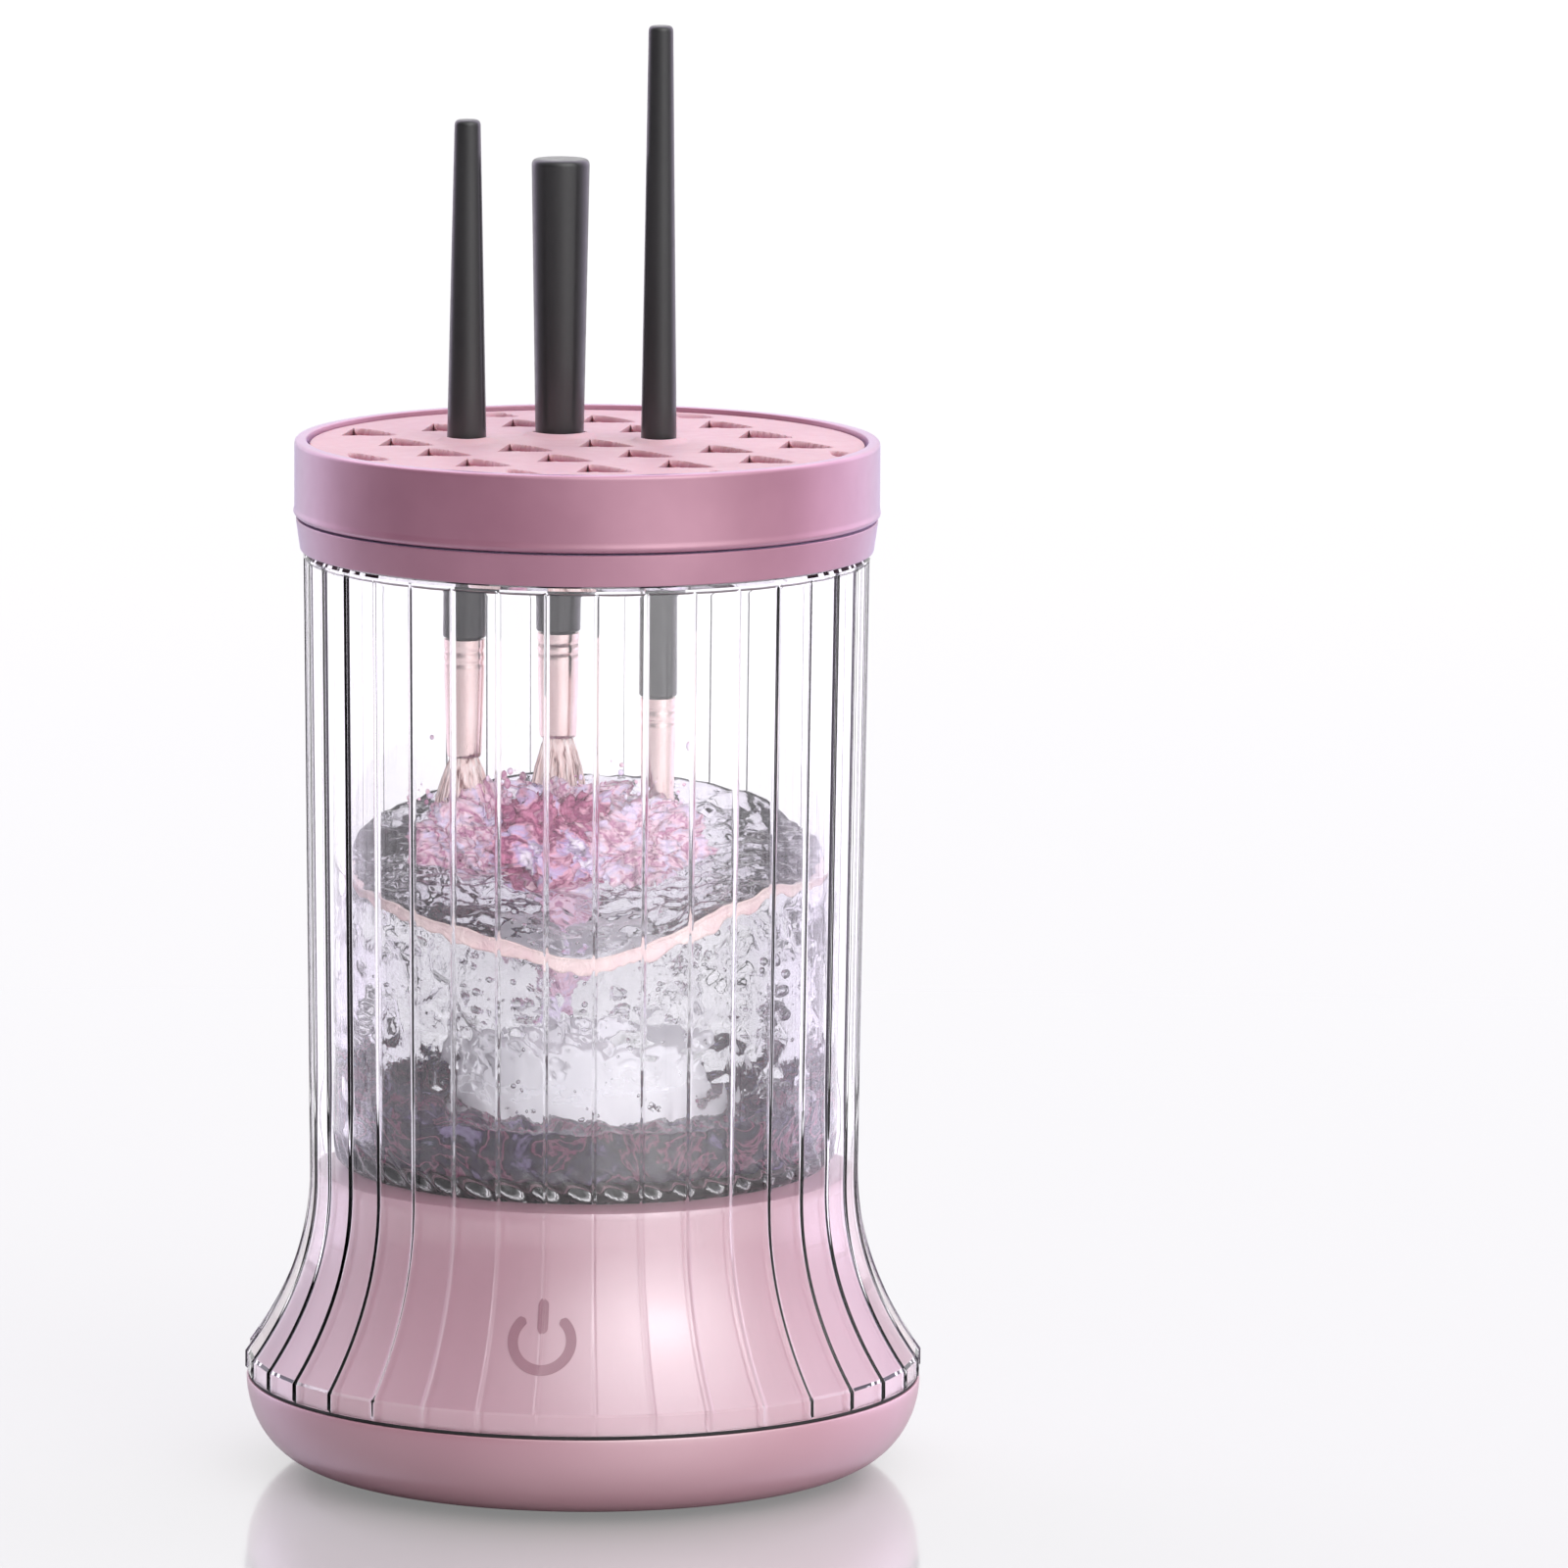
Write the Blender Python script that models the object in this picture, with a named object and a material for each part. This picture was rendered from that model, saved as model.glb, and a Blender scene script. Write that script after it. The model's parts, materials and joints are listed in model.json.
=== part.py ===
"""Electric make-up brush cleaner, built piece by piece.

Metres, +Z up. The origin is on the floor at the centre of the round base, and the power key faces -Y.
A clear fluted shell stands on a pink tray and covers the pink core that holds the motor and battery.
The clear wash cup stands inside the shell on the core's deck. A turntable with a silicone mat spins in
it, driven through the cup's floor by two rings of magnets. The lid holds brushes in a slit silicone pad.
"""

import math

import bmesh
import bpy
from mathutils import Matrix

# Clearance kept between pieces that touch on the real object.
GAP = 0.0003

# Clear outer shell: a nearly straight barrel above the waist, a flared skirt below it.
RIDGES = 36
RIDGE_DEPTH = 0.0004
SHELL_WALL = 0.0022
SHELL_TOP_Z = 0.1427
SHELL_TOP_R = 0.0436
FLUTE_TOP_Z = 0.1395
WAIST_Z = 0.0465
WAIST_R = 0.0425
SKIRT_Z = 0.0175
SKIRT_FLARE = 0.0100
SKIRT_CURVE = 2.1
SKIRT_STEPS = 6
SHELL_BOTTOM_Z = 0.0152

# Pink core under the skirt, with its flat deck.
CORE_SPACE = 0.0005
CORE_WALL = 0.0018
DECK_TOP_Z = 0.0470
DECK_EDGE = 0.0012
CORE_BOTTOM_Z = 0.0143

# Bottom tray: a quarter ellipse from the flat underside up to the rim.
TRAY_UNDER_Z = 0.0008
TRAY_RIM_Z = 0.0140
TRAY_FLAT_R = 0.0410
TRAY_BULGE = 0.0113
TRAY_WALL = 0.0021
TRAY_FLOOR_Z = 0.0028
RIB_TOP_Z = 0.0046
RIB_IN_R = 0.0300
RIB_OUT_R = 0.0385
GROOVE_IN_R = 0.0320
GROOVE_OUT_R = 0.0360
GROOVE_TOP_Z = 0.0022
POST_RING_R = 0.0340
POST_R = 0.0032
SCREW_BORE_R = 0.0012
SCREW_SHANK_R = 0.0009
SCREW_HEAD = 0.0011

# Drive: motor, bracket and magnet carrier, from the bottom up.
MOTOR_R = 0.0120
MOTOR_LOW_Z = 0.0190
MOTOR_FACE_Z = 0.0372
MOTOR_BOSS_R = 0.0033
MOTOR_BOSS_HEIGHT = 0.0016
MOTOR_BORE_R = 0.0014
MOTOR_BORE_DEPTH = 0.0072
MOTOR_SCREW_RING_R = 0.0080
BRACKET_R = 0.0262
BRACKET_Z = MOTOR_FACE_Z + GAP
BRACKET_TOP_Z = BRACKET_Z + 0.0016
BOSS_RING_R = 0.0225
BOSS_R = 0.0030
SHAFT_R = 0.0010
SHAFT_LOW_Z = 0.0305
SHAFT_TOP_Z = 0.0440
CARRIER_R = 0.0175
CARRIER_Z = 0.0412
CARRIER_TOP_Z = 0.0447
MAGNET_RING_R = 0.0115
MAGNET_R = 0.0038
MAGNET_COUNT = 4
POCKET_R = MAGNET_R + 0.0004

# Wash cup and its collar.
CUP_R = 0.0380
CUP_WALL = 0.0018
CUP_LOW_Z = DECK_TOP_Z + GAP
CUP_FLOOR_Z = CUP_LOW_Z + 0.0020
CUP_TOP_Z = 0.1466
FLANGE_R = 0.0420
FLANGE_Z = SHELL_TOP_Z + GAP
FLANGE_THICK = 0.0016
COLLAR_LOW_R = 0.0441
COLLAR_TOP_R = 0.0448
COLLAR_TOP_Z = 0.1479

# Turntable, mat and hub, stacked on the spindle.
SPINDLE_R = 0.0020
SPINDLE_TOP_Z = 0.0645
SPINDLE_FOOT_R = 0.0045
BUSH_R = 0.0030
TURNTABLE_R = 0.0346
TURNTABLE_Z = CUP_FLOOR_Z + 0.0012
TURNTABLE_TOP_Z = TURNTABLE_Z + 0.0033
MAT_R = 0.0352
MAT_Z = TURNTABLE_TOP_Z + GAP
MAT_TOP_Z = MAT_Z + 0.0019
MAT_RIBS = 20
MAT_RIB_HEIGHT = 0.0012
MAT_HOLE_R = 0.0060
HUB_BORE_R = 0.0034
HUB_NECK_R = 0.0056
HUB_WALL = 0.0016
HUB_R = 0.0165
HUB_Z = MAT_TOP_Z + GAP
HUB_STEP_Z = 0.0620
HUB_STEP = 0.0006
HUB_DECK_Z = 0.0685
TURRET_R = 0.0072
HUB_TOP_Z = 0.0720

# Lid ring and the silicone pad with its slits.
LID_R = 0.0450
LID_Z = COLLAR_TOP_Z + GAP
LID_TOP_Z = 0.1600
LID_SKIRT_R = 0.0357
LID_SKIRT_Z = 0.1436
LID_SKIRT_WALL = 0.0016
LID_FLOOR_TOP_Z = 0.1500
LEDGE_Z = 0.1565
LEDGE_IN_R = 0.0400
LID_IN_R = 0.0418
PAD_R = 0.0427
PAD_Z = LEDGE_Z + GAP
PAD_TOP_Z = 0.1593
SLIT_PITCH = 0.0137
SLIT_TURN = math.radians(34)
SLIT_R = 0.0021
SLIT_REACH = 0.0385
SLIT_START = (-0.0190, 0.0034)

# The three brushes that stand in the pad: place, slot radius, and the handle's, ferrule's and
# bristles' radii and heights.
BRUSHES = {
    "round_brush": {
        "place": (-0.0192, 0.0029),
        "slot": 0.0038,
        "handle": [(0.0033, 0.1283), (0.0031, 0.1560), (0.0024, 0.1900), (0.0020, 0.2086)],
        "ferrule": [(0.0031, 0.1283), (0.0026, 0.1100)],
        "bristles": [(0.0024, 0.1097), (0.0040, 0.1030), (0.0052, 0.0965), (0.0040, 0.0950)],
    },
    "fan_brush": {
        "place": (-0.0061, 0.0123),
        "slot": 0.0047,
        "handle": [(0.0034, 0.1283), (0.0037, 0.1560), (0.0042, 0.1850), (0.0045, 0.2019)],
        "ferrule": [(0.0032, 0.1283), (0.0028, 0.1120)],
        "bristles": [(0.0026, 0.1117), (0.0042, 0.1060), (0.0050, 0.0990), (0.0038, 0.0975)],
    },
    "fine_brush": {
        "place": (0.0101, 0.0070),
        "slot": 0.0036,
        "handle": [(0.0029, 0.1193), (0.0028, 0.1560), (0.0022, 0.2000), (0.0019, 0.2232)],
        "ferrule": [(0.0027, 0.1193), (0.0024, 0.1010)],
        "bristles": [(0.0022, 0.1007), (0.0028, 0.0970), (0.0026, 0.0930), (0.0012, 0.0900)],
    },
}

# Charging port at the back and the power key's board at the front.
PORT_WIDTH = 0.0090
PORT_HEIGHT = 0.0033
PORT_BACK_Y = 0.0420
PORT_FRONT_Y = 0.0508
PORT_SPACE = 0.0004
PORT_Z = 0.00875
PORT_WALL = 0.0006
BATTERY = ((-0.0200, -0.0155, 0.0031), (0.0200, 0.0155, 0.0111))
MAIN_BOARD = ((-0.0140, 0.0200, 0.0052), (0.0140, 0.0430, 0.0068))
KEY_Z = 0.0276
KEY_BOARD_Y = -0.0373
KEY_BOARD_THICK = 0.0012
KEY_BOARD_HALF = 0.0060

FINISHES = {
    "clear_acrylic": {"colour": (0.90, 0.89, 0.92), "roughness": 0.06, "metallic": 0.0, "clear": 1.0},
    "pearl_pink": {"colour": (0.68, 0.40, 0.47), "roughness": 0.25, "metallic": 0.0, "clear": 0.0},
    "tray_pink": {"colour": (0.66, 0.36, 0.43), "roughness": 0.30, "metallic": 0.0, "clear": 0.0},
    "rose_metallic": {"colour": (0.50, 0.22, 0.31), "roughness": 0.28, "metallic": 0.6, "clear": 0.0},
    "pink_silicone": {"colour": (0.80, 0.53, 0.58), "roughness": 0.55, "metallic": 0.0, "clear": 0.0},
    "black_rubber": {"colour": (0.03, 0.03, 0.03), "roughness": 0.80, "metallic": 0.0, "clear": 0.0},
    "white_plastic": {"colour": (0.85, 0.84, 0.86), "roughness": 0.35, "metallic": 0.0, "clear": 0.0},
    "grey_plastic": {"colour": (0.35, 0.35, 0.37), "roughness": 0.45, "metallic": 0.0, "clear": 0.0},
    "steel": {"colour": (0.60, 0.60, 0.62), "roughness": 0.30, "metallic": 1.0, "clear": 0.0},
    "brass": {"colour": (0.70, 0.52, 0.25), "roughness": 0.30, "metallic": 1.0, "clear": 0.0},
    "green_board": {"colour": (0.04, 0.22, 0.10), "roughness": 0.50, "metallic": 0.0, "clear": 0.0},
    "battery_blue": {"colour": (0.08, 0.20, 0.45), "roughness": 0.40, "metallic": 0.0, "clear": 0.0},
    "black_handle": {"colour": (0.045, 0.045, 0.047), "roughness": 0.35, "metallic": 0.0, "clear": 0.0},
    "rose_ferrule": {"colour": (0.80, 0.60, 0.56), "roughness": 0.22, "metallic": 0.9, "clear": 0.0},
    "brown_bristle": {"colour": (0.35, 0.20, 0.18), "roughness": 0.70, "metallic": 0.0, "clear": 0.0},
}


# ---- helpers ---------------------------------------------------------------------------------

def clear_scene():
    """Remove whatever the file holds."""
    for thing in list(bpy.data.objects):
        bpy.data.objects.remove(thing, do_unlink=True)


def make_finish(name):
    """The Principled material of one finish, made once."""
    made = bpy.data.materials.get(name)
    if made:
        return made
    look = FINISHES[name]
    made = bpy.data.materials.new(name)
    made.use_nodes = True
    shader = made.node_tree.nodes["Principled BSDF"]
    shader.inputs["Base Color"].default_value = (*look["colour"], 1.0)
    shader.inputs["Roughness"].default_value = look["roughness"]
    shader.inputs["Metallic"].default_value = look["metallic"]
    shader.inputs["Transmission Weight"].default_value = look["clear"]
    made.diffuse_color = (*look["colour"], 1.0)
    return made


def add_object(name, bm, finish, group=None, place=(0.0, 0.0, 0.0)):
    """Turn a bmesh into a named object with its finish, under its group's empty."""
    bmesh.ops.recalc_face_normals(bm, faces=bm.faces)
    mesh = bpy.data.meshes.new(name)
    bm.to_mesh(mesh)
    bm.free()
    mesh.shade_smooth()
    mesh.set_sharp_from_angle(angle=math.radians(32))
    mesh.materials.append(make_finish(finish))
    made = bpy.data.objects.new(name, mesh)
    made.location = place
    made.parent = group
    bpy.context.scene.collection.objects.link(made)
    return made


def add_group(name, place=(0.0, 0.0, 0.0)):
    """An empty on the axis of the pieces that move together."""
    made = bpy.data.objects.new(name, None)
    made.location = place
    bpy.context.scene.collection.objects.link(made)
    return made


def turned_mesh(outline, steps):
    """A turned shape about Z. An outline that starts and ends on the axis makes a solid, and any
    other outline is a ring's section, which closes on itself."""
    bm = bmesh.new()
    points = [bm.verts.new((radius, 0.0, height)) for radius, height in outline]
    following = points[1:]
    if outline[0][0] > 0:
        following = following + points[:1]
    lines = [bm.edges.new(pair) for pair in zip(points, following)]
    bmesh.ops.spin(
        bm, geom=points + lines, cent=(0, 0, 0), axis=(0, 0, 1), dvec=(0, 0, 0),
        angle=math.tau, steps=steps, use_merge=True,
    )
    bmesh.ops.remove_doubles(bm, verts=bm.verts, dist=1e-6)
    return bm


def turned(name, outline, finish, steps=36, group=None, place=(0.0, 0.0, 0.0)):
    """A named turned piece."""
    return add_object(name, turned_mesh(outline, steps), finish, group, place)


def disc(radius, low, high, hole=0.0):
    """The outline of a plain disc, or of a washer where it has a hole."""
    return [(hole, low), (radius, low), (radius, high), (hole, high)]


def box(name, low, high, finish, bevel=0.0):
    """A block between two corners, with rounded edges where asked."""
    bm = bmesh.new()
    bmesh.ops.create_cube(bm, size=1.0)
    for vert in bm.verts:
        vert.co = [low[k] + (vert.co[k] + 0.5) * (high[k] - low[k]) for k in range(3)]
    if bevel:
        bmesh.ops.bevel(
            bm, geom=list(bm.edges), offset=bevel, segments=2, profile=0.5, affect="EDGES",
        )
    return add_object(name, bm, finish)


def slot_block(width, height, low_y, high_y, middle_z):
    """A block along Y whose section is a rectangle with round corners, about x = 0."""
    bm = bmesh.new()
    bmesh.ops.create_cube(bm, size=1.0)
    for vert in bm.verts:
        y = high_y if vert.co.y > 0 else low_y
        vert.co = (vert.co.x * width, y, middle_z + vert.co.z * height)
    along = [edge for edge in bm.edges if abs(edge.verts[0].co.y - edge.verts[1].co.y) > 0.0001]
    bmesh.ops.bevel(bm, geom=along, offset=height * 0.42, segments=3, profile=0.5, affect="EDGES")
    return bm


def ring_of(count, radius, start_degrees=0.0):
    """Evenly spaced points on a circle about the axis."""
    start = math.radians(start_degrees)
    turn = math.tau / count
    return [
        (radius * math.cos(start + turn * k), radius * math.sin(start + turn * k))
        for k in range(count)
    ]


def rods_mesh(places, radius, low, high, steps=12, turn=0.0):
    """Upright rods of one size at several places, in one mesh."""
    bm = bmesh.new()
    for x, y in places:
        where = Matrix.Translation((x, y, (low + high) / 2)) @ Matrix.Rotation(turn, 4, "Z")
        bmesh.ops.create_cone(
            bm, cap_ends=True, segments=steps, radius1=radius, radius2=radius,
            depth=high - low, matrix=where,
        )
    return bm


def shape_with(target, tool_mesh, name, operation):
    """Join a tool's shape to a piece or cut it away."""
    tool = add_object(name, tool_mesh, "grey_plastic", target.parent)
    tool.hide_render = True
    tool.display_type = "WIRE"
    change = target.modifiers.new(name, "BOOLEAN")
    change.operation = operation
    change.solver = "EXACT"
    change.object = tool


def add_screw(name, x, y, head_r, under_z, tip_z):
    """An upright screw: its head meets the piece it holds at under_z, and its tip is at tip_z."""
    head_z = under_z - SCREW_HEAD if tip_z > under_z else under_z + SCREW_HEAD
    outline = [(0.0, head_z), (head_r, head_z), (head_r, under_z), (SCREW_SHANK_R, under_z)]
    outline += [(SCREW_SHANK_R, tip_z), (0.0, tip_z)]
    turned(name, outline, "steel", steps=8, place=(x, y, 0.0))


# ---- casing ----------------------------------------------------------------------------------

def shell_radius(z):
    """Outer radius of the clear shell at a height, over its ridges."""
    if z >= WAIST_Z:
        return WAIST_R + (SHELL_TOP_R - WAIST_R) * (z - WAIST_Z) / (SHELL_TOP_Z - WAIST_Z)
    drop = min(1.0, (WAIST_Z - z) / (WAIST_Z - SKIRT_Z))
    return WAIST_R + SKIRT_FLARE * drop ** SKIRT_CURVE


def core_radius(z):
    """Outer radius of the pink core, just inside the clear shell."""
    return shell_radius(z) - SHELL_WALL - CORE_SPACE


def skirt_heights():
    """Heights down the flared skirt, from the waist to the lip."""
    return [WAIST_Z - (WAIST_Z - SKIRT_Z) * k / SKIRT_STEPS for k in range(SKIRT_STEPS + 1)]


def make_outer_shell():
    """Clear barrel and skirt in one moulding, with upright flutes outside and a smooth bore."""
    heights = [SHELL_TOP_Z, FLUTE_TOP_Z + 0.0016, FLUTE_TOP_Z] + skirt_heights() + [SHELL_BOTTOM_Z]
    outside = [(shell_radius(z), z) for z in heights]
    inside = [(shell_radius(z) - SHELL_WALL, z) for z in heights if z == SHELL_TOP_Z or z <= WAIST_Z]
    bm = turned_mesh(outside + inside[::-1], RIDGES * 2)
    column = math.tau / (RIDGES * 2)
    for vert in bm.verts:
        x, y, z = vert.co
        radius = math.hypot(x, y)
        between_ridges = round(math.atan2(y, x) / column) % 2
        on_flutes = z < FLUTE_TOP_Z + 0.0001 and radius > shell_radius(z) - SHELL_WALL / 2
        if between_ridges and on_flutes:
            share = (radius - RIDGE_DEPTH) / radius
            vert.co = (x * share, y * share, z)
    add_object("outer_shell", bm, "clear_acrylic")


def make_core_shell():
    """Pink core: deck, flared wall, four long posts for the case screws and three short bosses."""
    edge = core_radius(WAIST_Z)
    falls = [z for z in skirt_heights() if z < WAIST_Z]
    outside = [(0.0, DECK_TOP_Z), (edge - DECK_EDGE, DECK_TOP_Z), (edge, DECK_TOP_Z - DECK_EDGE)]
    outside += [(core_radius(z), z) for z in falls] + [(core_radius(SKIRT_Z), CORE_BOTTOM_Z)]
    inside = [(core_radius(SKIRT_Z) - CORE_WALL, CORE_BOTTOM_Z)]
    inside += [(core_radius(z) - CORE_WALL, z) for z in reversed(falls)]
    inside += [(edge - CORE_WALL, DECK_TOP_Z - CORE_WALL), (0.0, DECK_TOP_Z - CORE_WALL)]
    core = turned("core_shell", outside + inside, "pearl_pink", steps=36)
    inside_deck = DECK_TOP_Z - CORE_WALL / 2
    posts = ring_of(4, POST_RING_R, 45)
    bosses = ring_of(3, BOSS_RING_R, 90)
    post_low = RIB_TOP_Z + 0.0004
    shape_with(core, rods_mesh(posts, POST_R, post_low, inside_deck), "post_joiner", "UNION")
    boss_low = BRACKET_TOP_Z + GAP
    shape_with(core, rods_mesh(bosses, BOSS_R, boss_low, inside_deck), "boss_joiner", "UNION")
    tool = rods_mesh(posts, SCREW_BORE_R, post_low - 0.0010, 0.0156, steps=8)
    shape_with(core, tool, "post_bores", "DIFFERENCE")
    tool = rods_mesh(bosses, SCREW_BORE_R, boss_low - 0.0010, 0.0436, steps=8)
    shape_with(core, tool, "boss_bores", "DIFFERENCE")


def quarter_ellipse(across, down, centre_r, centre_z, steps):
    """Points from the flat underside up to the rim."""
    return [
        (centre_r + across * math.sin(turn), centre_z - down * math.cos(turn))
        for turn in [math.pi / 2 * k / steps for k in range(steps + 1)]
    ]


def make_tray():
    """Pink bottom tray, with a groove below for the foot ring and a cut-out for the charging port."""
    outside = quarter_ellipse(TRAY_BULGE, TRAY_RIM_Z - TRAY_UNDER_Z, TRAY_FLAT_R, TRAY_RIM_Z, 6)
    inside = quarter_ellipse(
        TRAY_BULGE - 0.0005, TRAY_RIM_Z - TRAY_FLOOR_Z, TRAY_FLAT_R - TRAY_WALL + 0.0005, TRAY_RIM_Z, 4,
    )
    outline = [(0.0, TRAY_UNDER_Z), (GROOVE_IN_R, TRAY_UNDER_Z), (GROOVE_IN_R, GROOVE_TOP_Z)]
    outline += [(GROOVE_OUT_R, GROOVE_TOP_Z), (GROOVE_OUT_R, TRAY_UNDER_Z)]
    outline += outside + inside[::-1]
    outline += [(RIB_OUT_R, TRAY_FLOOR_Z), (RIB_OUT_R, RIB_TOP_Z), (RIB_IN_R, RIB_TOP_Z)]
    outline += [(RIB_IN_R, TRAY_FLOOR_Z), (0.0, TRAY_FLOOR_Z)]
    tray = turned("bottom_tray", outline, "tray_pink", steps=40)
    posts = ring_of(4, POST_RING_R, 45)
    tool = rods_mesh(posts, SCREW_BORE_R, 0.0010, 0.0060, steps=8)
    shape_with(tray, tool, "screw_holes", "DIFFERENCE")
    tool = rods_mesh(posts, 0.0019, 0.0010, 0.0034, steps=8)
    shape_with(tray, tool, "head_holes", "DIFFERENCE")
    room = 2 * PORT_SPACE
    cut_y = (PORT_BACK_Y - 0.0015, PORT_FRONT_Y + 0.0052)
    tool = slot_block(PORT_WIDTH + room, PORT_HEIGHT + room, *cut_y, PORT_Z)
    shape_with(tray, tool, "port_cut", "DIFFERENCE")
    foot = [(GROOVE_IN_R + GAP, GROOVE_TOP_Z - GAP), (GROOVE_IN_R + GAP, 0.0)]
    foot += [(GROOVE_OUT_R - GAP, 0.0), (GROOVE_OUT_R - GAP, GROOVE_TOP_Z - GAP)]
    turned("foot_ring", foot, "black_rubber", steps=36)
    gasket_r = core_radius(SKIRT_Z) + GAP
    gasket = [(gasket_r, TRAY_RIM_Z + GAP), (gasket_r + 0.0019, TRAY_RIM_Z + GAP)]
    gasket += [(gasket_r + 0.0019, SHELL_BOTTOM_Z - GAP), (gasket_r, SHELL_BOTTOM_Z - GAP)]
    turned("seam_gasket", gasket, "black_rubber", steps=40)
    for number, (x, y) in enumerate(posts, 1):
        add_screw(f"case_screw_{number}", x, y, 0.0016, 0.0031, 0.0150)


# ---- electrics and drive ---------------------------------------------------------------------

def make_electrics():
    """Battery under the motor, main board with the charging port behind, key board in front."""
    box("battery_pack", *BATTERY, "battery_blue", bevel=0.0012)
    box("circuit_board", *MAIN_BOARD, "green_board")
    case = slot_block(PORT_WIDTH, PORT_HEIGHT, PORT_BACK_Y, PORT_FRONT_Y, PORT_Z)
    port = add_object("charging_port", case, "steel")
    walls = 2 * PORT_WALL
    inside_y = PORT_BACK_Y + PORT_WALL
    tool = slot_block(PORT_WIDTH - walls, PORT_HEIGHT - walls, inside_y, PORT_FRONT_Y + 0.0010, PORT_Z)
    shape_with(port, tool, "port_mouth", "DIFFERENCE")
    box(
        "port_tongue", (-0.0032, inside_y + GAP, PORT_Z - 0.00035),
        (0.0032, PORT_FRONT_Y - 0.0012, PORT_Z + 0.00035), "grey_plastic",
    )
    front_y = KEY_BOARD_Y - KEY_BOARD_THICK
    half = KEY_BOARD_HALF
    box("key_board", (-half, front_y, KEY_Z - half), (half, KEY_BOARD_Y, KEY_Z + half), "green_board")
    pad_y = front_y - GAP
    pad = turned("key_pad", disc(0.0035, 0.0, 0.0008), "brass", steps=12, place=(0.0, pad_y, KEY_Z + 0.0015))
    pad.rotation_euler = (math.pi / 2, 0.0, 0.0)
    box("power_led", (-0.0014, pad_y - 0.0010, KEY_Z - 0.0052), (0.0014, pad_y, KEY_Z - 0.0034), "white_plastic")


def make_motor():
    """Motor hung from the deck on a bracket plate."""
    boss_z = MOTOR_FACE_Z + MOTOR_BOSS_HEIGHT
    bore_z = MOTOR_FACE_Z - MOTOR_BORE_DEPTH
    outline = [(0.0, MOTOR_LOW_Z), (0.0040, MOTOR_LOW_Z), (0.0040, MOTOR_LOW_Z + 0.0010)]
    outline += [(MOTOR_R - 0.0008, MOTOR_LOW_Z + 0.0010), (MOTOR_R, MOTOR_LOW_Z + 0.0018)]
    outline += [(MOTOR_R, MOTOR_FACE_Z), (MOTOR_BOSS_R, MOTOR_FACE_Z), (MOTOR_BOSS_R, boss_z)]
    outline += [(MOTOR_BORE_R, boss_z), (MOTOR_BORE_R, bore_z), (0.0, bore_z)]
    motor = turned("motor_can", outline, "steel", steps=24)
    face_screws = ring_of(2, MOTOR_SCREW_RING_R)
    plate_screws = ring_of(3, BOSS_RING_R, 90)
    tool = rods_mesh(face_screws, SCREW_BORE_R, 0.0325, MOTOR_FACE_Z + 0.0008, steps=8)
    shape_with(motor, tool, "face_bores", "DIFFERENCE")
    plate = disc(BRACKET_R, BRACKET_Z, BRACKET_TOP_Z, 0.0040)
    bracket = turned("motor_bracket", plate, "steel", steps=24)
    low, high = BRACKET_Z - 0.0010, BRACKET_TOP_Z + 0.0010
    tool = rods_mesh(face_screws + plate_screws, SCREW_BORE_R, low, high, steps=8)
    shape_with(bracket, tool, "bracket_holes", "DIFFERENCE")
    for number, (x, y) in enumerate(face_screws, 1):
        add_screw(f"motor_screw_{number}", x, y, 0.0017, BRACKET_TOP_Z + GAP, 0.0330)
    for number, (x, y) in enumerate(plate_screws, 1):
        add_screw(f"bracket_screw_{number}", x, y, 0.0022, BRACKET_Z - GAP, 0.0430)


def make_magnets(prefix, low, high, group):
    """One ring of disc magnets."""
    for number, (x, y) in enumerate(ring_of(MAGNET_COUNT, MAGNET_RING_R, 45), 1):
        turned(
            f"{prefix}_{number}", [(0.0, low), (MAGNET_R, low), (MAGNET_R, high), (0.0, high)],
            "steel", steps=12, group=group, place=(x, y, 0.0),
        )


def make_rotor():
    """Shaft and magnet carrier that spin under the deck."""
    rotor = add_group("rotor_axis")
    shaft = disc(SHAFT_R, SHAFT_LOW_Z, SHAFT_TOP_Z)
    turned("drive_shaft", shaft, "steel", steps=12, group=rotor)
    plate = disc(CARRIER_R, CARRIER_Z, CARRIER_TOP_Z, SHAFT_R + GAP)
    carrier = turned("magnet_carrier", plate, "grey_plastic", steps=24, group=rotor)
    pockets = ring_of(MAGNET_COUNT, MAGNET_RING_R, 45)
    tool = rods_mesh(pockets, POCKET_R, CARRIER_TOP_Z - 0.0026, CARRIER_TOP_Z + 0.0010)
    shape_with(carrier, tool, "carrier_pockets", "DIFFERENCE")
    make_magnets("drive_magnet", CARRIER_TOP_Z - 0.0023, CARRIER_TOP_Z - 0.0001, rotor)


# ---- cup and turntable -----------------------------------------------------------------------

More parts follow.
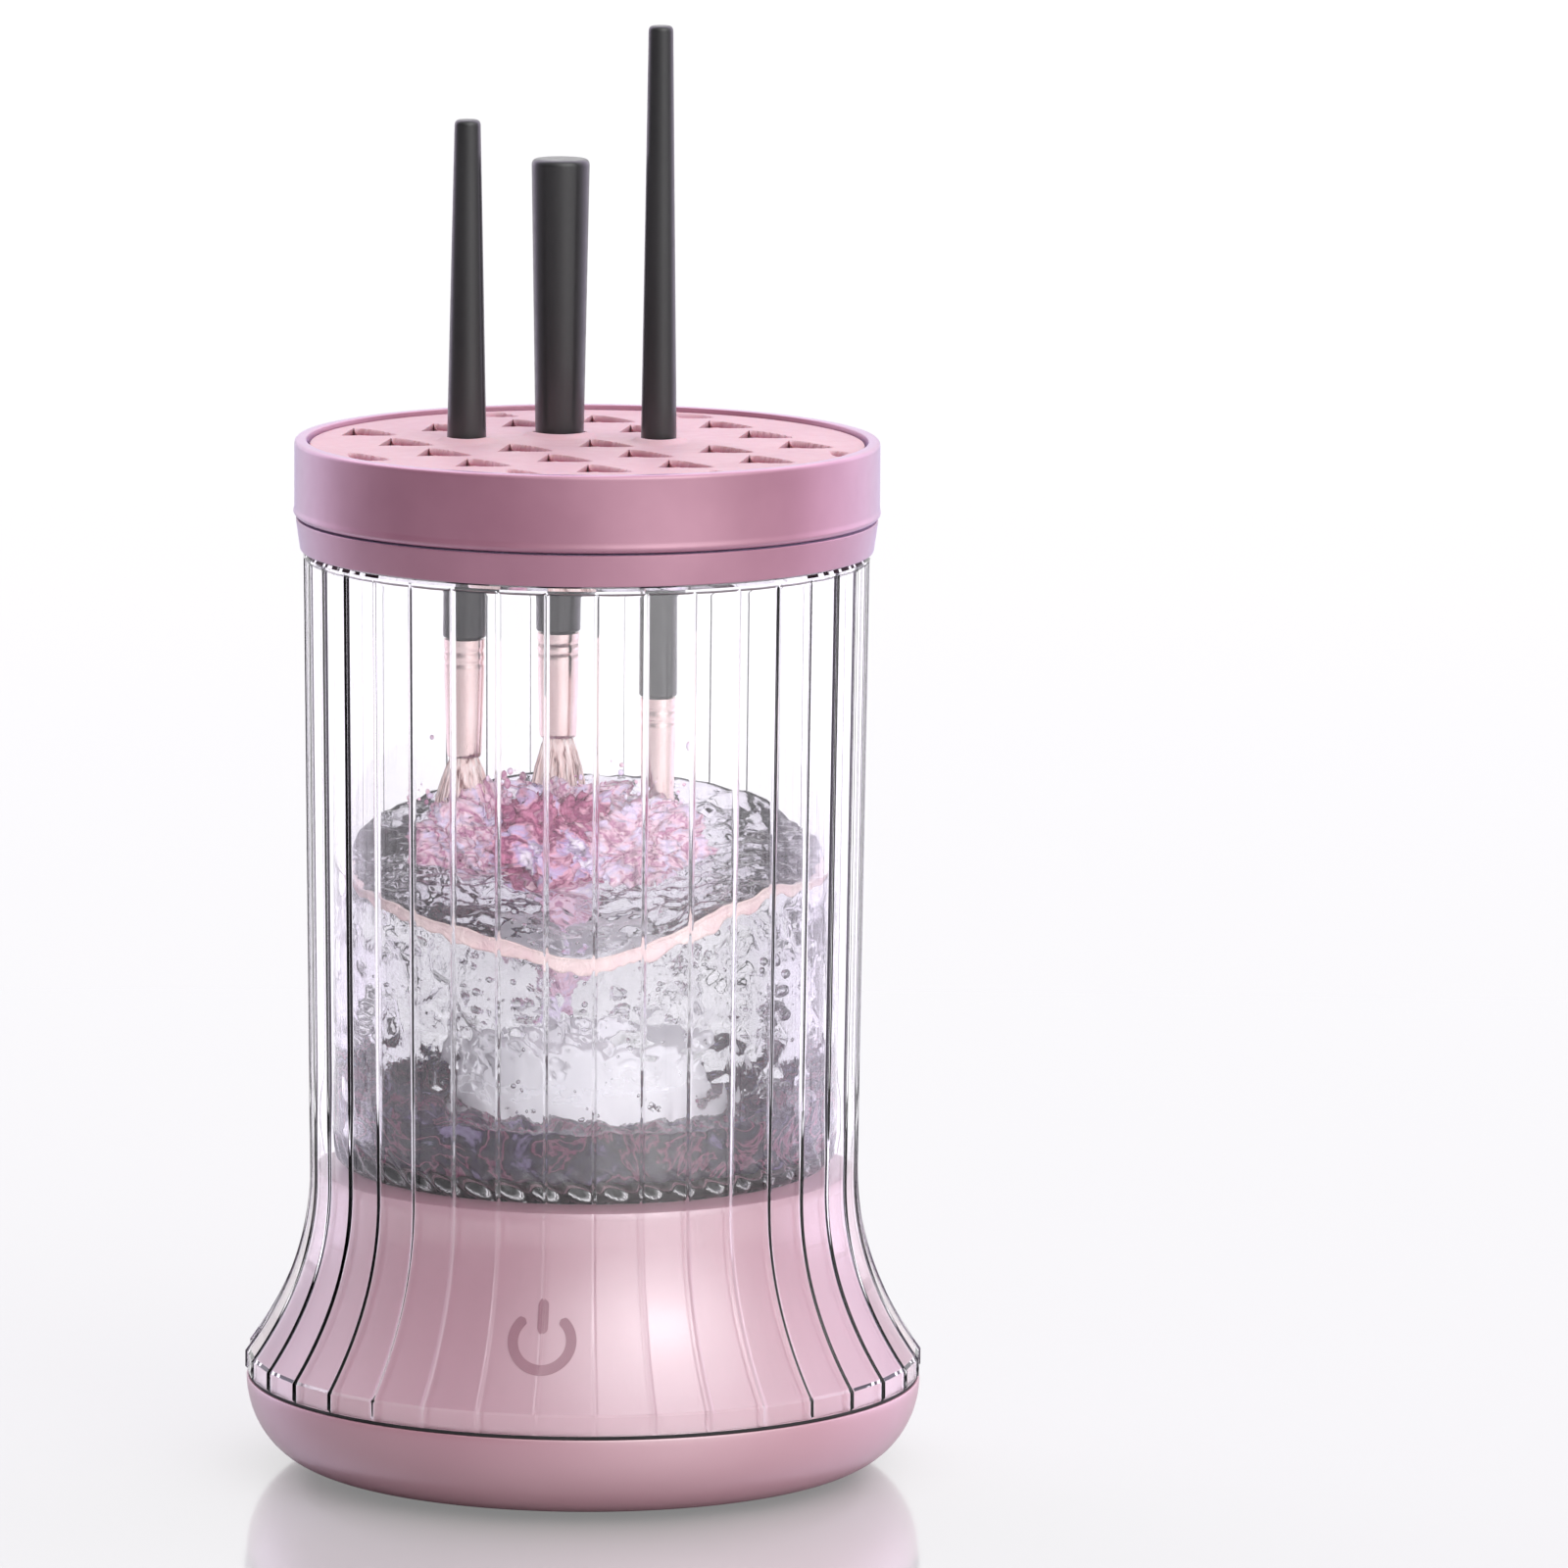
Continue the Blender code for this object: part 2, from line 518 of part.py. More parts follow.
def make_cup():
    """Clear wash cup with its rim flange, the pink collar that grips it, and the spindle."""
    cup = add_group("cup_axis")
    inner_r = CUP_R - CUP_WALL
    outline = [(0.0, CUP_LOW_Z), (CUP_R - 0.0020, CUP_LOW_Z), (CUP_R, CUP_LOW_Z + 0.0020)]
    outline += [(CUP_R, FLANGE_Z), (FLANGE_R, FLANGE_Z), (FLANGE_R, FLANGE_Z + FLANGE_THICK)]
    outline += [(CUP_R, FLANGE_Z + FLANGE_THICK), (CUP_R, CUP_TOP_Z), (inner_r, CUP_TOP_Z)]
    outline += [(inner_r, CUP_FLOOR_Z + 0.0012), (inner_r - 0.0012, CUP_FLOOR_Z), (0.0, CUP_FLOOR_Z)]
    turned("inner_cup", outline, "clear_acrylic", steps=48, group=cup)
    over_z = FLANGE_Z + FLANGE_THICK + GAP
    outline = [(FLANGE_R + GAP, FLANGE_Z), (COLLAR_LOW_R, FLANGE_Z), (COLLAR_TOP_R, COLLAR_TOP_Z)]
    outline += [(CUP_R + 0.0006, COLLAR_TOP_Z), (CUP_R + 0.0006, over_z), (FLANGE_R + GAP, over_z)]
    turned("collar_ring", outline, "rose_metallic", steps=48, group=cup)
    foot_z = CUP_FLOOR_Z + GAP
    outline = [(0.0, foot_z), (SPINDLE_FOOT_R, foot_z), (SPINDLE_FOOT_R, foot_z + 0.0006)]
    outline += [(SPINDLE_R, foot_z + 0.0006), (SPINDLE_R, SPINDLE_TOP_Z - 0.0005), (0.0, SPINDLE_TOP_Z)]
    turned("spindle_pin", outline, "steel", steps=16, group=cup)


def make_mat(group):
    """Silicone scrubbing mat: a washer with long radial ribs moulded on top."""
    steps = MAT_RIBS * 3
    rib_in = MAT_R * 0.60
    rib_out = MAT_R * 0.97
    outline = [(MAT_HOLE_R, MAT_Z), (MAT_R, MAT_Z), (MAT_R, MAT_TOP_Z), (rib_out, MAT_TOP_Z)]
    outline += [(rib_in, MAT_TOP_Z), (MAT_HOLE_R, MAT_TOP_Z)]
    bm = turned_mesh(outline, steps)
    ribs = []
    for face in bm.faces:
        centre = face.calc_center_median()
        column = int(math.floor((math.atan2(centre.y, centre.x) % math.tau) / (math.tau / steps)))
        radius = math.hypot(centre.x, centre.y)
        on_top = centre.z > MAT_TOP_Z - 0.0001
        if on_top and rib_in < radius < rib_out and column % 3 == 0:
            ribs.append(face)
    lifted = bmesh.ops.extrude_discrete_faces(bm, faces=ribs)["faces"]
    for vert in {v for face in lifted for v in face.verts}:
        vert.co.z += MAT_RIB_HEIGHT
    add_object("cleaning_mat", bm, "pink_silicone", group)


def make_spinner():
    """Turntable, bush, mat, hub and magnets that turn on the spindle."""
    spinner = add_group("spinner_axis")
    plate = disc(TURNTABLE_R, TURNTABLE_Z, TURNTABLE_TOP_Z, BUSH_R + GAP)
    table = turned("turntable", plate, "white_plastic", steps=36, group=spinner)
    pockets = ring_of(MAGNET_COUNT, MAGNET_RING_R, 45)
    tool = rods_mesh(pockets, POCKET_R, TURNTABLE_Z - 0.0010, TURNTABLE_Z + 0.0025)
    shape_with(table, tool, "table_pockets", "DIFFERENCE")
    make_magnets("driven_magnet", TURNTABLE_Z + 0.0001, TURNTABLE_Z + 0.0022, spinner)
    bush = disc(BUSH_R, TURNTABLE_Z + GAP, MAT_TOP_Z, SPINDLE_R + 0.0002)
    turned("spindle_bush", bush, "brass", steps=24, group=spinner)
    make_mat(spinner)
    make_hub(spinner)


def make_hub(group):
    """Agitator hub: a hollow two-step drum with a small turret, on a neck through the mat."""
    inner_r = HUB_R - HUB_WALL
    upper_r = HUB_R - HUB_STEP
    roof_z = HUB_DECK_Z - HUB_WALL
    outline = [(HUB_BORE_R, MAT_Z), (HUB_NECK_R, MAT_Z), (HUB_NECK_R, roof_z), (inner_r, roof_z)]
    outline += [(inner_r, HUB_Z), (HUB_R, HUB_Z), (HUB_R, HUB_STEP_Z - HUB_STEP), (upper_r, HUB_STEP_Z)]
    outline += [(upper_r, HUB_DECK_Z - 0.0008), (upper_r - 0.0008, HUB_DECK_Z), (TURRET_R, HUB_DECK_Z)]
    outline += [(TURRET_R, HUB_TOP_Z - 0.0008), (TURRET_R - 0.0008, HUB_TOP_Z), (0.0, HUB_TOP_Z)]
    outline += [(0.0, HUB_TOP_Z - HUB_WALL), (HUB_BORE_R, HUB_TOP_Z - HUB_WALL)]
    turned("agitator_hub", blind_bore(outline), "white_plastic", steps=24, group=group)


def blind_bore(outline):
    """Order the outline of a piece bored from below so that it starts and ends on the axis."""
    top = next(k for k, (radius, _) in enumerate(outline) if radius == 0.0)
    return outline[top + 1:] + outline[:top + 1]


# ---- lid and brushes -------------------------------------------------------------------------

def slit_places():
    """The square lattice of slits in the pad, without the ones that hold a brush."""
    across = (SLIT_PITCH * math.cos(SLIT_TURN), SLIT_PITCH * math.sin(SLIT_TURN))
    along = (SLIT_PITCH * math.sin(SLIT_TURN), -SLIT_PITCH * math.cos(SLIT_TURN))
    taken = [brush["place"] for brush in BRUSHES.values()]
    places = []
    for i in range(-6, 7):
        for j in range(-6, 7):
            x = SLIT_START[0] + i * across[0] + j * along[0]
            y = SLIT_START[1] + i * across[1] + j * along[1]
            free = all(math.hypot(x - bx, y - by) > SLIT_PITCH / 2 for bx, by in taken)
            if free and math.hypot(x, y) < SLIT_REACH:
                places.append((x, y))
    return places


def make_lid():
    """Lid ring with a ledge for the silicone pad, a skirt that plugs the cup, and a gasket."""
    lid = add_group("lid_axis")
    outline = [(LID_R - 0.0004, LID_Z), (LID_R + 0.0002, LID_Z + 0.0006), (LID_R, LID_Z + 0.0014)]
    outline += [(LID_R, LID_TOP_Z - 0.0006), (LID_R - 0.0006, LID_TOP_Z), (PAD_R + 0.0006, LID_TOP_Z)]
    outline += [(PAD_R + GAP, LID_TOP_Z - 0.0004), (PAD_R + GAP, LEDGE_Z), (LEDGE_IN_R, LEDGE_Z)]
    outline += [(LEDGE_IN_R, LEDGE_Z - 0.0016), (LID_IN_R, LEDGE_Z - 0.0030), (LID_IN_R, LID_FLOOR_TOP_Z)]
    skirt_in_r = LID_SKIRT_R - LID_SKIRT_WALL
    outline += [(skirt_in_r, LID_FLOOR_TOP_Z), (skirt_in_r, LID_SKIRT_Z)]
    outline += [(LID_SKIRT_R, LID_SKIRT_Z), (LID_SKIRT_R, LID_Z)]
    turned("lid_ring", outline, "rose_metallic", steps=48, group=lid)
    gasket = disc(CUP_R + 0.0003, CUP_TOP_Z + GAP, LID_Z - GAP, CUP_R - CUP_WALL + 0.0003)
    turned("lid_gasket", gasket, "pink_silicone", steps=36, group=lid)
    pad = turned("brush_pad", disc(PAD_R, PAD_Z, PAD_TOP_Z), "pink_silicone", steps=48, group=lid)
    low = PAD_Z - 0.0010
    high = PAD_TOP_Z + 0.0010
    tool = rods_mesh(slit_places(), SLIT_R, low, high, steps=3, turn=SLIT_TURN)
    shape_with(pad, tool, "slit_cutter", "DIFFERENCE")
    for name, brush in BRUSHES.items():
        tool = rods_mesh([brush["place"]], brush["slot"], low, high, steps=16)
        shape_with(pad, tool, f"{name}_slot", "DIFFERENCE")


def make_brush(name, brush):
    """One make-up brush: handle with a tenon, crimped ferrule tube, and bristles with their root."""
    group = add_group(f"{name}_axis", (*brush["place"], 0.0))
    handle = brush["handle"]
    top_r, top_z = handle[-1]
    foot_r, foot_z = handle[0]
    tenon_r = foot_r - 0.0013
    outline = [(0.0, foot_z - 0.0050), (tenon_r, foot_z - 0.0050), (tenon_r, foot_z + GAP)]
    outline += [(foot_r, foot_z + GAP)] + handle[1:-1]
    outline += [(top_r, top_z - 0.0008), (top_r - 0.0007, top_z), (0.0, top_z)]
    turned(f"{name}_handle", outline, "black_handle", steps=16, group=group)
    (upper_r, upper_z), (lower_r, lower_z) = brush["ferrule"]
    wall = 0.0006
    crimp_z = lower_z + (upper_z - lower_z) * 0.4
    middle = (upper_r + lower_r) / 2
    outline = [(upper_r, upper_z), (middle, crimp_z), (lower_r, lower_z)]
    outline += [(lower_r - wall, lower_z), (middle - wall, crimp_z), (upper_r - wall, upper_z)]
    turned(f"{name}_ferrule", outline, "rose_ferrule", steps=16, group=group)
    root_r = lower_r - wall - GAP
    root_z = lower_z + 0.0040
    tip_z = brush["bristles"][-1][1]
    outline = [(0.0, root_z), (root_r, root_z), (root_r, lower_z - GAP)] + brush["bristles"] + [(0.0, tip_z)]
    turned(f"{name}_bristles", outline, "brown_bristle", steps=16, group=group)


def main():
    """Build every piece from the floor up."""
    clear_scene()
    make_tray()
    make_core_shell()
    make_outer_shell()
    make_electrics()
    make_motor()
    make_rotor()
    make_cup()
    make_spinner()
    make_lid()
    for name, brush in BRUSHES.items():
        make_brush(name, brush)


main()
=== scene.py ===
"""Looks of the electric brush cleaner: fine surfaces, materials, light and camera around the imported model."""

import json
import math
import random

import bmesh
import bpy
from mathutils import Matrix, Vector, noise

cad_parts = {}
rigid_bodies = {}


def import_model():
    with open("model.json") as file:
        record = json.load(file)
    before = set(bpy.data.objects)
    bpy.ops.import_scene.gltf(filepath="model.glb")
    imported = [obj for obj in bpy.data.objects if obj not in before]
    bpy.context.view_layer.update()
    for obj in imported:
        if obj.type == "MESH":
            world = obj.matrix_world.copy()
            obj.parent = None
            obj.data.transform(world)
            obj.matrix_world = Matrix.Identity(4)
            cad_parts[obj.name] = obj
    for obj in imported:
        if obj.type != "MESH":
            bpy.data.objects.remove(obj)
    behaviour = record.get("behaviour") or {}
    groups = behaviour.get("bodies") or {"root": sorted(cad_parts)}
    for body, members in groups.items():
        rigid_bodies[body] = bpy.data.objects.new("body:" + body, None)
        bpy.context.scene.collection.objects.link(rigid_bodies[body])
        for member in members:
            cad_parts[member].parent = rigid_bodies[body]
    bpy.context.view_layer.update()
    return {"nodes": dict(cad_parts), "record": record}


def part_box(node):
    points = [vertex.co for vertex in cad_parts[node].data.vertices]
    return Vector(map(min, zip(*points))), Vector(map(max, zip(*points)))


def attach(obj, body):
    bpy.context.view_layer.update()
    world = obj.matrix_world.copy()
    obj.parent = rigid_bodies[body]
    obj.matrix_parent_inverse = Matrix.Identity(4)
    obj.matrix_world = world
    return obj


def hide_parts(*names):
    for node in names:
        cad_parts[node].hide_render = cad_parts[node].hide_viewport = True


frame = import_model()

MM = 0.001
TAU = math.tau
PI = math.pi

# ---- sizes from the frame ---------------------------------------------------------------------

SHELL_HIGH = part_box("outer_shell")[1]
CORE_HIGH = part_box("core_shell")[1]
TRAY_LOW, TRAY_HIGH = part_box("bottom_tray")
FOOT_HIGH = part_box("foot_ring")[1]
SEAM_LOW, SEAM_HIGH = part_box("seam_gasket")
CUP_LOW, CUP_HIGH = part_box("inner_cup")
COLLAR_LOW, COLLAR_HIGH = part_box("collar_ring")
LID_LOW, LID_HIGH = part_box("lid_ring")
PAD_LOW, PAD_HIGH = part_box("brush_pad")
LID_GASKET_LOW, LID_GASKET_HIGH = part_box("lid_gasket")
TABLE_LOW, TABLE_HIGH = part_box("turntable")
MAT_LOW, MAT_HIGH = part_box("cleaning_mat")
HUB_LOW, HUB_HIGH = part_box("agitator_hub")
PORT_LOW, PORT_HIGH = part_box("charging_port")

RIDGES = 36
WAIST_Z = 46.5 * MM
WAIST_R = 42.5 * MM
SKIRT_Z = 17.5 * MM
SKIRT_R = SHELL_HIGH.x
SKIRT_CURVE = 2.1
BARREL_TOP_R = 43.6 * MM
CORE_SPACE = 0.35 * MM
FLUTE_TOP_Z = 141.9 * MM
SHELL_FOOT_Z = 14.6 * MM

FOOT_LOW_R = 32.0 * MM
FOOT_HIGH_R = 36.0 * MM

CAMERA_TURN = math.radians(8)
CAMERA_ROLL = math.radians(0.41)
CAMERA_BACK = 1.80
CAMERA_HEIGHT = 0.385
AIM_RIGHT = 0.03056
AIM_HEIGHT = 0.1065
LENS = 271
KEY_POWER = 10.0
FILL_POWER = 14.0
INNER_PIECES = ("hub", "pigment_cloud", "pigment_haze", "pigment_tail", "pigment_spray", "soap_rim")
FLOOR_LIFT = 0.22
FLOOR_LIFT_BEHIND_GLASS = 0.55
RIGHT = Vector((math.cos(CAMERA_TURN), math.sin(CAMERA_TURN), 0))
AWAY = Vector((-math.sin(CAMERA_TURN), math.cos(CAMERA_TURN), 0))


# ---- camera, floor and light ------------------------------------------------------------------

def make_camera():
    """A long lens from a little above, aimed beside the machine and rolled slightly, as in the picture."""
    data = bpy.data.cameras.new("camera")
    data.lens = LENS
    data.sensor_width = 36
    data.clip_end = 100
    camera = bpy.data.objects.new("camera", data)
    bpy.context.scene.collection.objects.link(camera)
    camera.location = -AWAY * CAMERA_BACK + Vector((0, 0, CAMERA_HEIGHT))
    target = RIGHT * AIM_RIGHT + Vector((0, 0, AIM_HEIGHT))
    camera.rotation_euler = (target - camera.location).to_track_quat("-Z", "Y").to_euler()
    camera.rotation_euler.rotate_axis("Z", CAMERA_ROLL)
    bpy.context.scene.camera = camera


def make_floor():
    """A plain white floor with a soft reflection."""
    bm = bmesh.new()
    bmesh.ops.create_grid(bm, x_segments=1, y_segments=1, size=30)
    mesh = bpy.data.meshes.new("floor")
    bm.to_mesh(mesh)
    bm.free()
    floor = bpy.data.objects.new("floor", mesh)
    bpy.context.scene.collection.objects.link(floor)
    floor.location.z = -0.0002
    paint = bpy.data.materials.new("floor_white")
    paint.use_nodes = True
    shader = paint.node_tree.nodes["Principled BSDF"]
    shader.inputs["Base Color"].default_value = (0.45, 0.45, 0.45, 1)
    shader.inputs["Metallic"].default_value = 0.35
    shader.inputs["Roughness"].default_value = 0.10
    shader.inputs["IOR"].default_value = 1.75
    shader.inputs["Emission Color"].default_value = (1, 1, 1, 1)
    nodes, links = paint.node_tree.nodes, paint.node_tree.links
    path = nodes.new("ShaderNodeLightPath")
    bright = nodes.new("ShaderNodeMath")
    bright.operation = "MULTIPLY_ADD"
    bright.inputs[1].default_value = FLOOR_LIFT
    links.new(path.outputs["Is Camera Ray"], bright.inputs[0])
    behind = nodes.new("ShaderNodeMath")
    behind.operation = "MULTIPLY"
    behind.inputs[1].default_value = FLOOR_LIFT_BEHIND_GLASS
    links.new(path.outputs["Is Transmission Ray"], behind.inputs[0])
    links.new(behind.outputs[0], bright.inputs[2])
    links.new(bright.outputs[0], shader.inputs["Emission Strength"])
    mesh.materials.append(paint)


def make_world():
    """A white room: a soft key at the front right, lilac sides, and dark flags seen only through glass."""
    scene = bpy.context.scene
    scene.view_settings.view_transform = "Standard"
    world = bpy.data.worlds.new("studio")
    scene.world = world
    world.use_nodes = True
    tree = world.node_tree
    tree.nodes.clear()

    def add(kind, **values):
        node = tree.nodes.new(kind)
        for key, value in values.items():
            setattr(node, key, value)
        return node

    way = add("ShaderNodeTexCoord").outputs["Generated"]

    def along(axis):
        node = add("ShaderNodeVectorMath", operation="DOT_PRODUCT")
        tree.links.new(way, node.inputs[0])
        node.inputs[1].default_value = axis.normalized()
        return node.outputs["Value"]

    def ramp(value, *stops):
        """Brightness against the cosine of the angle to an axis; the first two stops are the ends."""
        span = add("ShaderNodeMapRange")
        span.inputs["From Min"].default_value = -1.0
        tree.links.new(value, span.inputs["Value"])
        node = add("ShaderNodeValToRGB")
        for index, (cosine, colour) in enumerate(stops):
            elements = node.color_ramp.elements
            stop = elements[index] if index < 2 else elements.new((cosine + 1.0) / 2.0)
            stop.color = (*colour, 1)
        tree.links.new(span.outputs[0], node.inputs[0])
        return node.outputs[0]

    def blend(kind, one, two, factor=1.0):
        node = add("ShaderNodeMix", data_type="RGBA", blend_type=kind)
        for socket, value in (("Factor", factor), ("A", one), ("B", two)):
            if isinstance(value, (int, float)):
                node.inputs[socket].default_value = value
            elif isinstance(value, tuple):
                node.inputs[socket].default_value = (*value, 1)
            else:
                tree.links.new(value, node.inputs[socket])
        return node.outputs["Result"]

    def grey(level):
        return (level, level, level)

    white, flag, lilac = grey(1.0), (0.28, 0.27, 0.30), (1.70, 1.50, 1.92)
    through = ramp(
        along(AWAY), (-1.0, (0.30, 0.29, 0.31)), (1.0, white), (-0.2, (0.46, 0.44, 0.48)),
        (0.3, (0.88, 0.86, 0.92)), (0.70, (0.84, 0.82, 0.88)), (0.79, flag), (0.90, flag), (0.94, white),
    )
    sides = ((0.35, lilac), (0.74, lilac), (0.92, white))
    room = ramp(along(AWAY), (-1.0, grey(0.55)), (1.0, white), (-0.1, grey(0.30)), *sides)
    mirrored = ramp(along(AWAY), (-1.0, grey(0.10)), (1.0, white), (-0.1, grey(0.14)), *sides)
    left = ramp(
        along(-RIGHT * 0.8 - AWAY * 0.6), (-1.0, white), (1.0, grey(0.15)), (0.2, white), (0.6, grey(0.30)),
    )
    overhead = ramp(
        along(Vector((0, 0, 1))), (-1.0, grey(0)), (1.0, grey(0.40)), (0.25, grey(0)), (0.75, grey(0.40)),
    )
    key = ramp(
        along(RIGHT * 0.66 - AWAY * 1.0 + Vector((0, 0, 0.70))), (-1.0, grey(0)), (1.0, grey(0.34)),
        (0.45, grey(0)), (0.75, grey(0.045)), (0.88, grey(0.12)), (0.96, grey(0.18)), (0.99, grey(0.23)),
    )
    scaled = add("ShaderNodeVectorMath", operation="SCALE")
    scaled.inputs["Scale"].default_value = KEY_POWER
    tree.links.new(key, scaled.inputs[0])
    path = add("ShaderNodeLightPath")
    lit = blend("MIX", room, mirrored, path.outputs["Is Glossy Ray"])
    lit = blend("MULTIPLY", lit, left)
    lit = blend("ADD", lit, overhead)
    seen = blend("MIX", lit, through, path.outputs["Is Transmission Ray"])
    seen = blend("ADD", seen, scaled.outputs[0])
    seen = blend("MIX", seen, white, path.outputs["Is Camera Ray"])
    back = add("ShaderNodeBackground")
    tree.links.new(seen, back.inputs["Color"])
    tree.links.new(back.outputs[0], add("ShaderNodeOutputWorld").inputs["Surface"])


def light_the_wash():
    """A front fill that only reaches what stands inside the clear walls."""
    inside = bpy.data.collections.new("lit_through_the_walls")
    for piece in bpy.context.scene.objects:
        if piece.name.startswith(INNER_PIECES) or piece.name.endswith(("_tuft", "_sleeve")):
            inside.objects.link(piece)
    data = bpy.data.lights.new("fill", "AREA")
    data.size = 0.6
    data.energy = FILL_POWER
    fill = bpy.data.objects.new("fill", data)
    bpy.context.scene.collection.objects.link(fill)
    fill.location = -AWAY * 1.1 + RIGHT * 0.25 + Vector((0, 0, 0.42))
    fill.rotation_euler = (Vector((0, 0, 0.08)) - fill.location).to_track_quat("-Z", "Y").to_euler()
    fill.visible_camera = False
    fill.visible_glossy = False
    fill.visible_transmission = False
    fill.light_linking.receiver_collection = inside


# ---- materials --------------------------------------------------------------------------------

class Paint:
    """A node material with a few helpers to feed its Principled shader."""

    def __init__(self, name, **sockets):
        self.material = bpy.data.materials.new(name)
        self.material.use_nodes = True
        self.tree = self.material.node_tree
        self.shader = self.tree.nodes["Principled BSDF"]
        self.out = self.tree.nodes["Material Output"]
        self.place = self.tree.nodes.new("ShaderNodeTexCoord").outputs["Object"]
        for socket, value in sockets.items():
            self.shader.inputs[socket.replace("_", " ")].default_value = value

    def link(self, start, end):
        self.tree.links.new(start, end)

    def noise(self, scale, detail=4.0, stretch=(1, 1, 1), distortion=0.0):
        """Noise over the piece, with cells about 1/scale metres across."""
        mapping = self.tree.nodes.new("ShaderNodeMapping")
        mapping.inputs["Scale"].default_value = stretch
        made = self.tree.nodes.new("ShaderNodeTexNoise")
        made.inputs["Scale"].default_value = scale
        made.inputs["Detail"].default_value = detail
        made.inputs["Distortion"].default_value = distortion
        self.link(self.place, mapping.inputs["Vector"])
        self.link(mapping.outputs[0], made.inputs["Vector"])
        return made.outputs["Fac"]

    def colours(self, value, *stops):
        """Base colour from a value, through (position, colour) stops."""
        ramp = self.tree.nodes.new("ShaderNodeValToRGB")
        elements = ramp.color_ramp.elements
        for index, (position, colour) in enumerate(stops):
            stop = elements[index] if index < 2 else elements.new(position)
            stop.position = position
            stop.color = (*colour, 1)
        self.link(value, ramp.inputs[0])
        self.link(ramp.outputs[0], self.shader.inputs["Base Color"])

    def roughness(self, value, low, high):
        """Roughness between two values."""
        span = self.tree.nodes.new("ShaderNodeMapRange")
        span.inputs["From Min"].default_value = 0.3
        span.inputs["From Max"].default_value = 0.7
        span.inputs["To Min"].default_value = low
        span.inputs["To Max"].default_value = high
        self.link(value, span.inputs["Value"])
        self.link(span.outputs[0], self.shader.inputs["Roughness"])

    def bump(self, value, depth, strength=1.0):
        """Fine relief, with its depth in metres."""
        made = self.tree.nodes.new("ShaderNodeBump")
        made.inputs["Strength"].default_value = strength
        made.inputs["Distance"].default_value = depth
        self.link(value, made.inputs["Height"])
        self.link(made.outputs[0], self.shader.inputs["Normal"])

    def let_light_through(self, tint=(1, 1, 1)):
        """Shadow rays pass, so that what stands inside the clear wall is lit."""
        clear = self.tree.nodes.new("ShaderNodeBsdfTransparent")
        clear.inputs["Color"].default_value = (*tint, 1)
        path = self.tree.nodes.new("ShaderNodeLightPath")
        mix = self.tree.nodes.new("ShaderNodeMixShader")
        self.link(path.outputs["Is Shadow Ray"], mix.inputs["Fac"])
        self.link(self.shader.outputs[0], mix.inputs[1])
        self.link(clear.outputs[0], mix.inputs[2])
        self.link(mix.outputs[0], self.out.inputs["Surface"])


def acrylic(name, tint):
    """Clear moulded acrylic with a faint ripple and handling haze."""
    paint = Paint(name, Transmission_Weight=1.0, IOR=1.49)
    paint.colours(paint.noise(60, 2), (0.3, tint), (0.7, tuple(min(1.0, c * 1.01) for c in tint)))
    paint.roughness(paint.noise(60, 2), 0.0, 0.012)
    paint.bump(paint.noise(40, 1), 0.00001, 0.15)
    paint.let_light_through((0.98, 0.98, 0.98))
    return paint.material


def pearl(name, light, dark, coat=0.5):
    """Pearl plastic: a slow shift of shade, fine mica grain and a clear top."""
    paint = Paint(name, Coat_Weight=coat, Coat_Roughness=0.30, Coat_IOR=2.7, Specular_IOR_Level=0.5)
    paint.colours(paint.noise(22, 3, distortion=0.4), (0.35, dark), (0.68, light))
    paint.roughness(paint.noise(200, 2), 0.34, 0.40)
    paint.bump(paint.noise(300, 1), 0.000001, 0.1)
    return paint.material


def metallic(name, light, dark, rough=(0.30, 0.40)):
    """Rose metallic lacquer: fine flake under a clear coat, with a lilac sheen."""
    paint = Paint(
        name, Metallic=0.30, Coat_Weight=1.0, Coat_Roughness=0.30, Coat_IOR=1.9, Sheen_Weight=0.6,
        Sheen_Roughness=0.35, Sheen_Tint=(0.72, 0.62, 1.0, 1),
    )
    paint.colours(paint.noise(60, 3), (0.35, dark), (0.65, light))
    paint.roughness(paint.noise(500, 3), *rough)
    paint.bump(paint.noise(2000, 1), 0.000003, 0.3)
    return paint.material


def silicone(name, light, dark):
    """Matt moulded silicone with a dusty sheen."""
    paint = Paint(
        name, Subsurface_Weight=0.15, Subsurface_Scale=0.002, Sheen_Weight=0.08, Sheen_Roughness=0.4,
        Specular_IOR_Level=0.25,
    )
    paint.colours(paint.noise(70, 5), (0.32, dark), (0.7, light))
    paint.roughness(paint.noise(500, 4), 0.42, 0.60)
    paint.bump(paint.noise(2200, 4), 0.00004, 0.35)
    return paint.material


def pad_paint_with_painted_shade(light, dark, deep):
    """The pad's silicone with painted shade: its colour darkens to a deep pink below the pad's top, inside its
    dips and slits.
    """
    material = silicone("pad_silicone", light, dark)
    tree = material.node_tree
    shader = tree.nodes["Principled BSDF"]
    split = tree.nodes.new("ShaderNodeSeparateXYZ")
    tree.links.new(tree.nodes["Texture Coordinate"].outputs["Object"], split.inputs[0])
    # Painted shade: a mask from the height below the pad's top darkens the colour towards the deep pink in the
    # dips and slits.
    span = tree.nodes.new("ShaderNodeMapRange")
    span.inputs["From Min"].default_value = PAD_HIGH.z - 1.1 * MM
    span.inputs["From Max"].default_value = PAD_HIGH.z - 0.05 * MM
    tree.links.new(split.outputs["Z"], span.inputs["Value"])
    mix = tree.nodes.new("ShaderNodeMix")
    mix.data_type = "RGBA"
    # deep is the painted shade colour for the lowest parts of the pad.
    mix.inputs["A"].default_value = (*deep, 1)
    colour = shader.inputs["Base Color"].links[0].from_socket
    tree.links.new(span.outputs[0], mix.inputs["Factor"])
    tree.links.new(colour, mix.inputs["B"])
    tree.links.new(mix.outputs["Result"], shader.inputs["Base Color"])
    return material


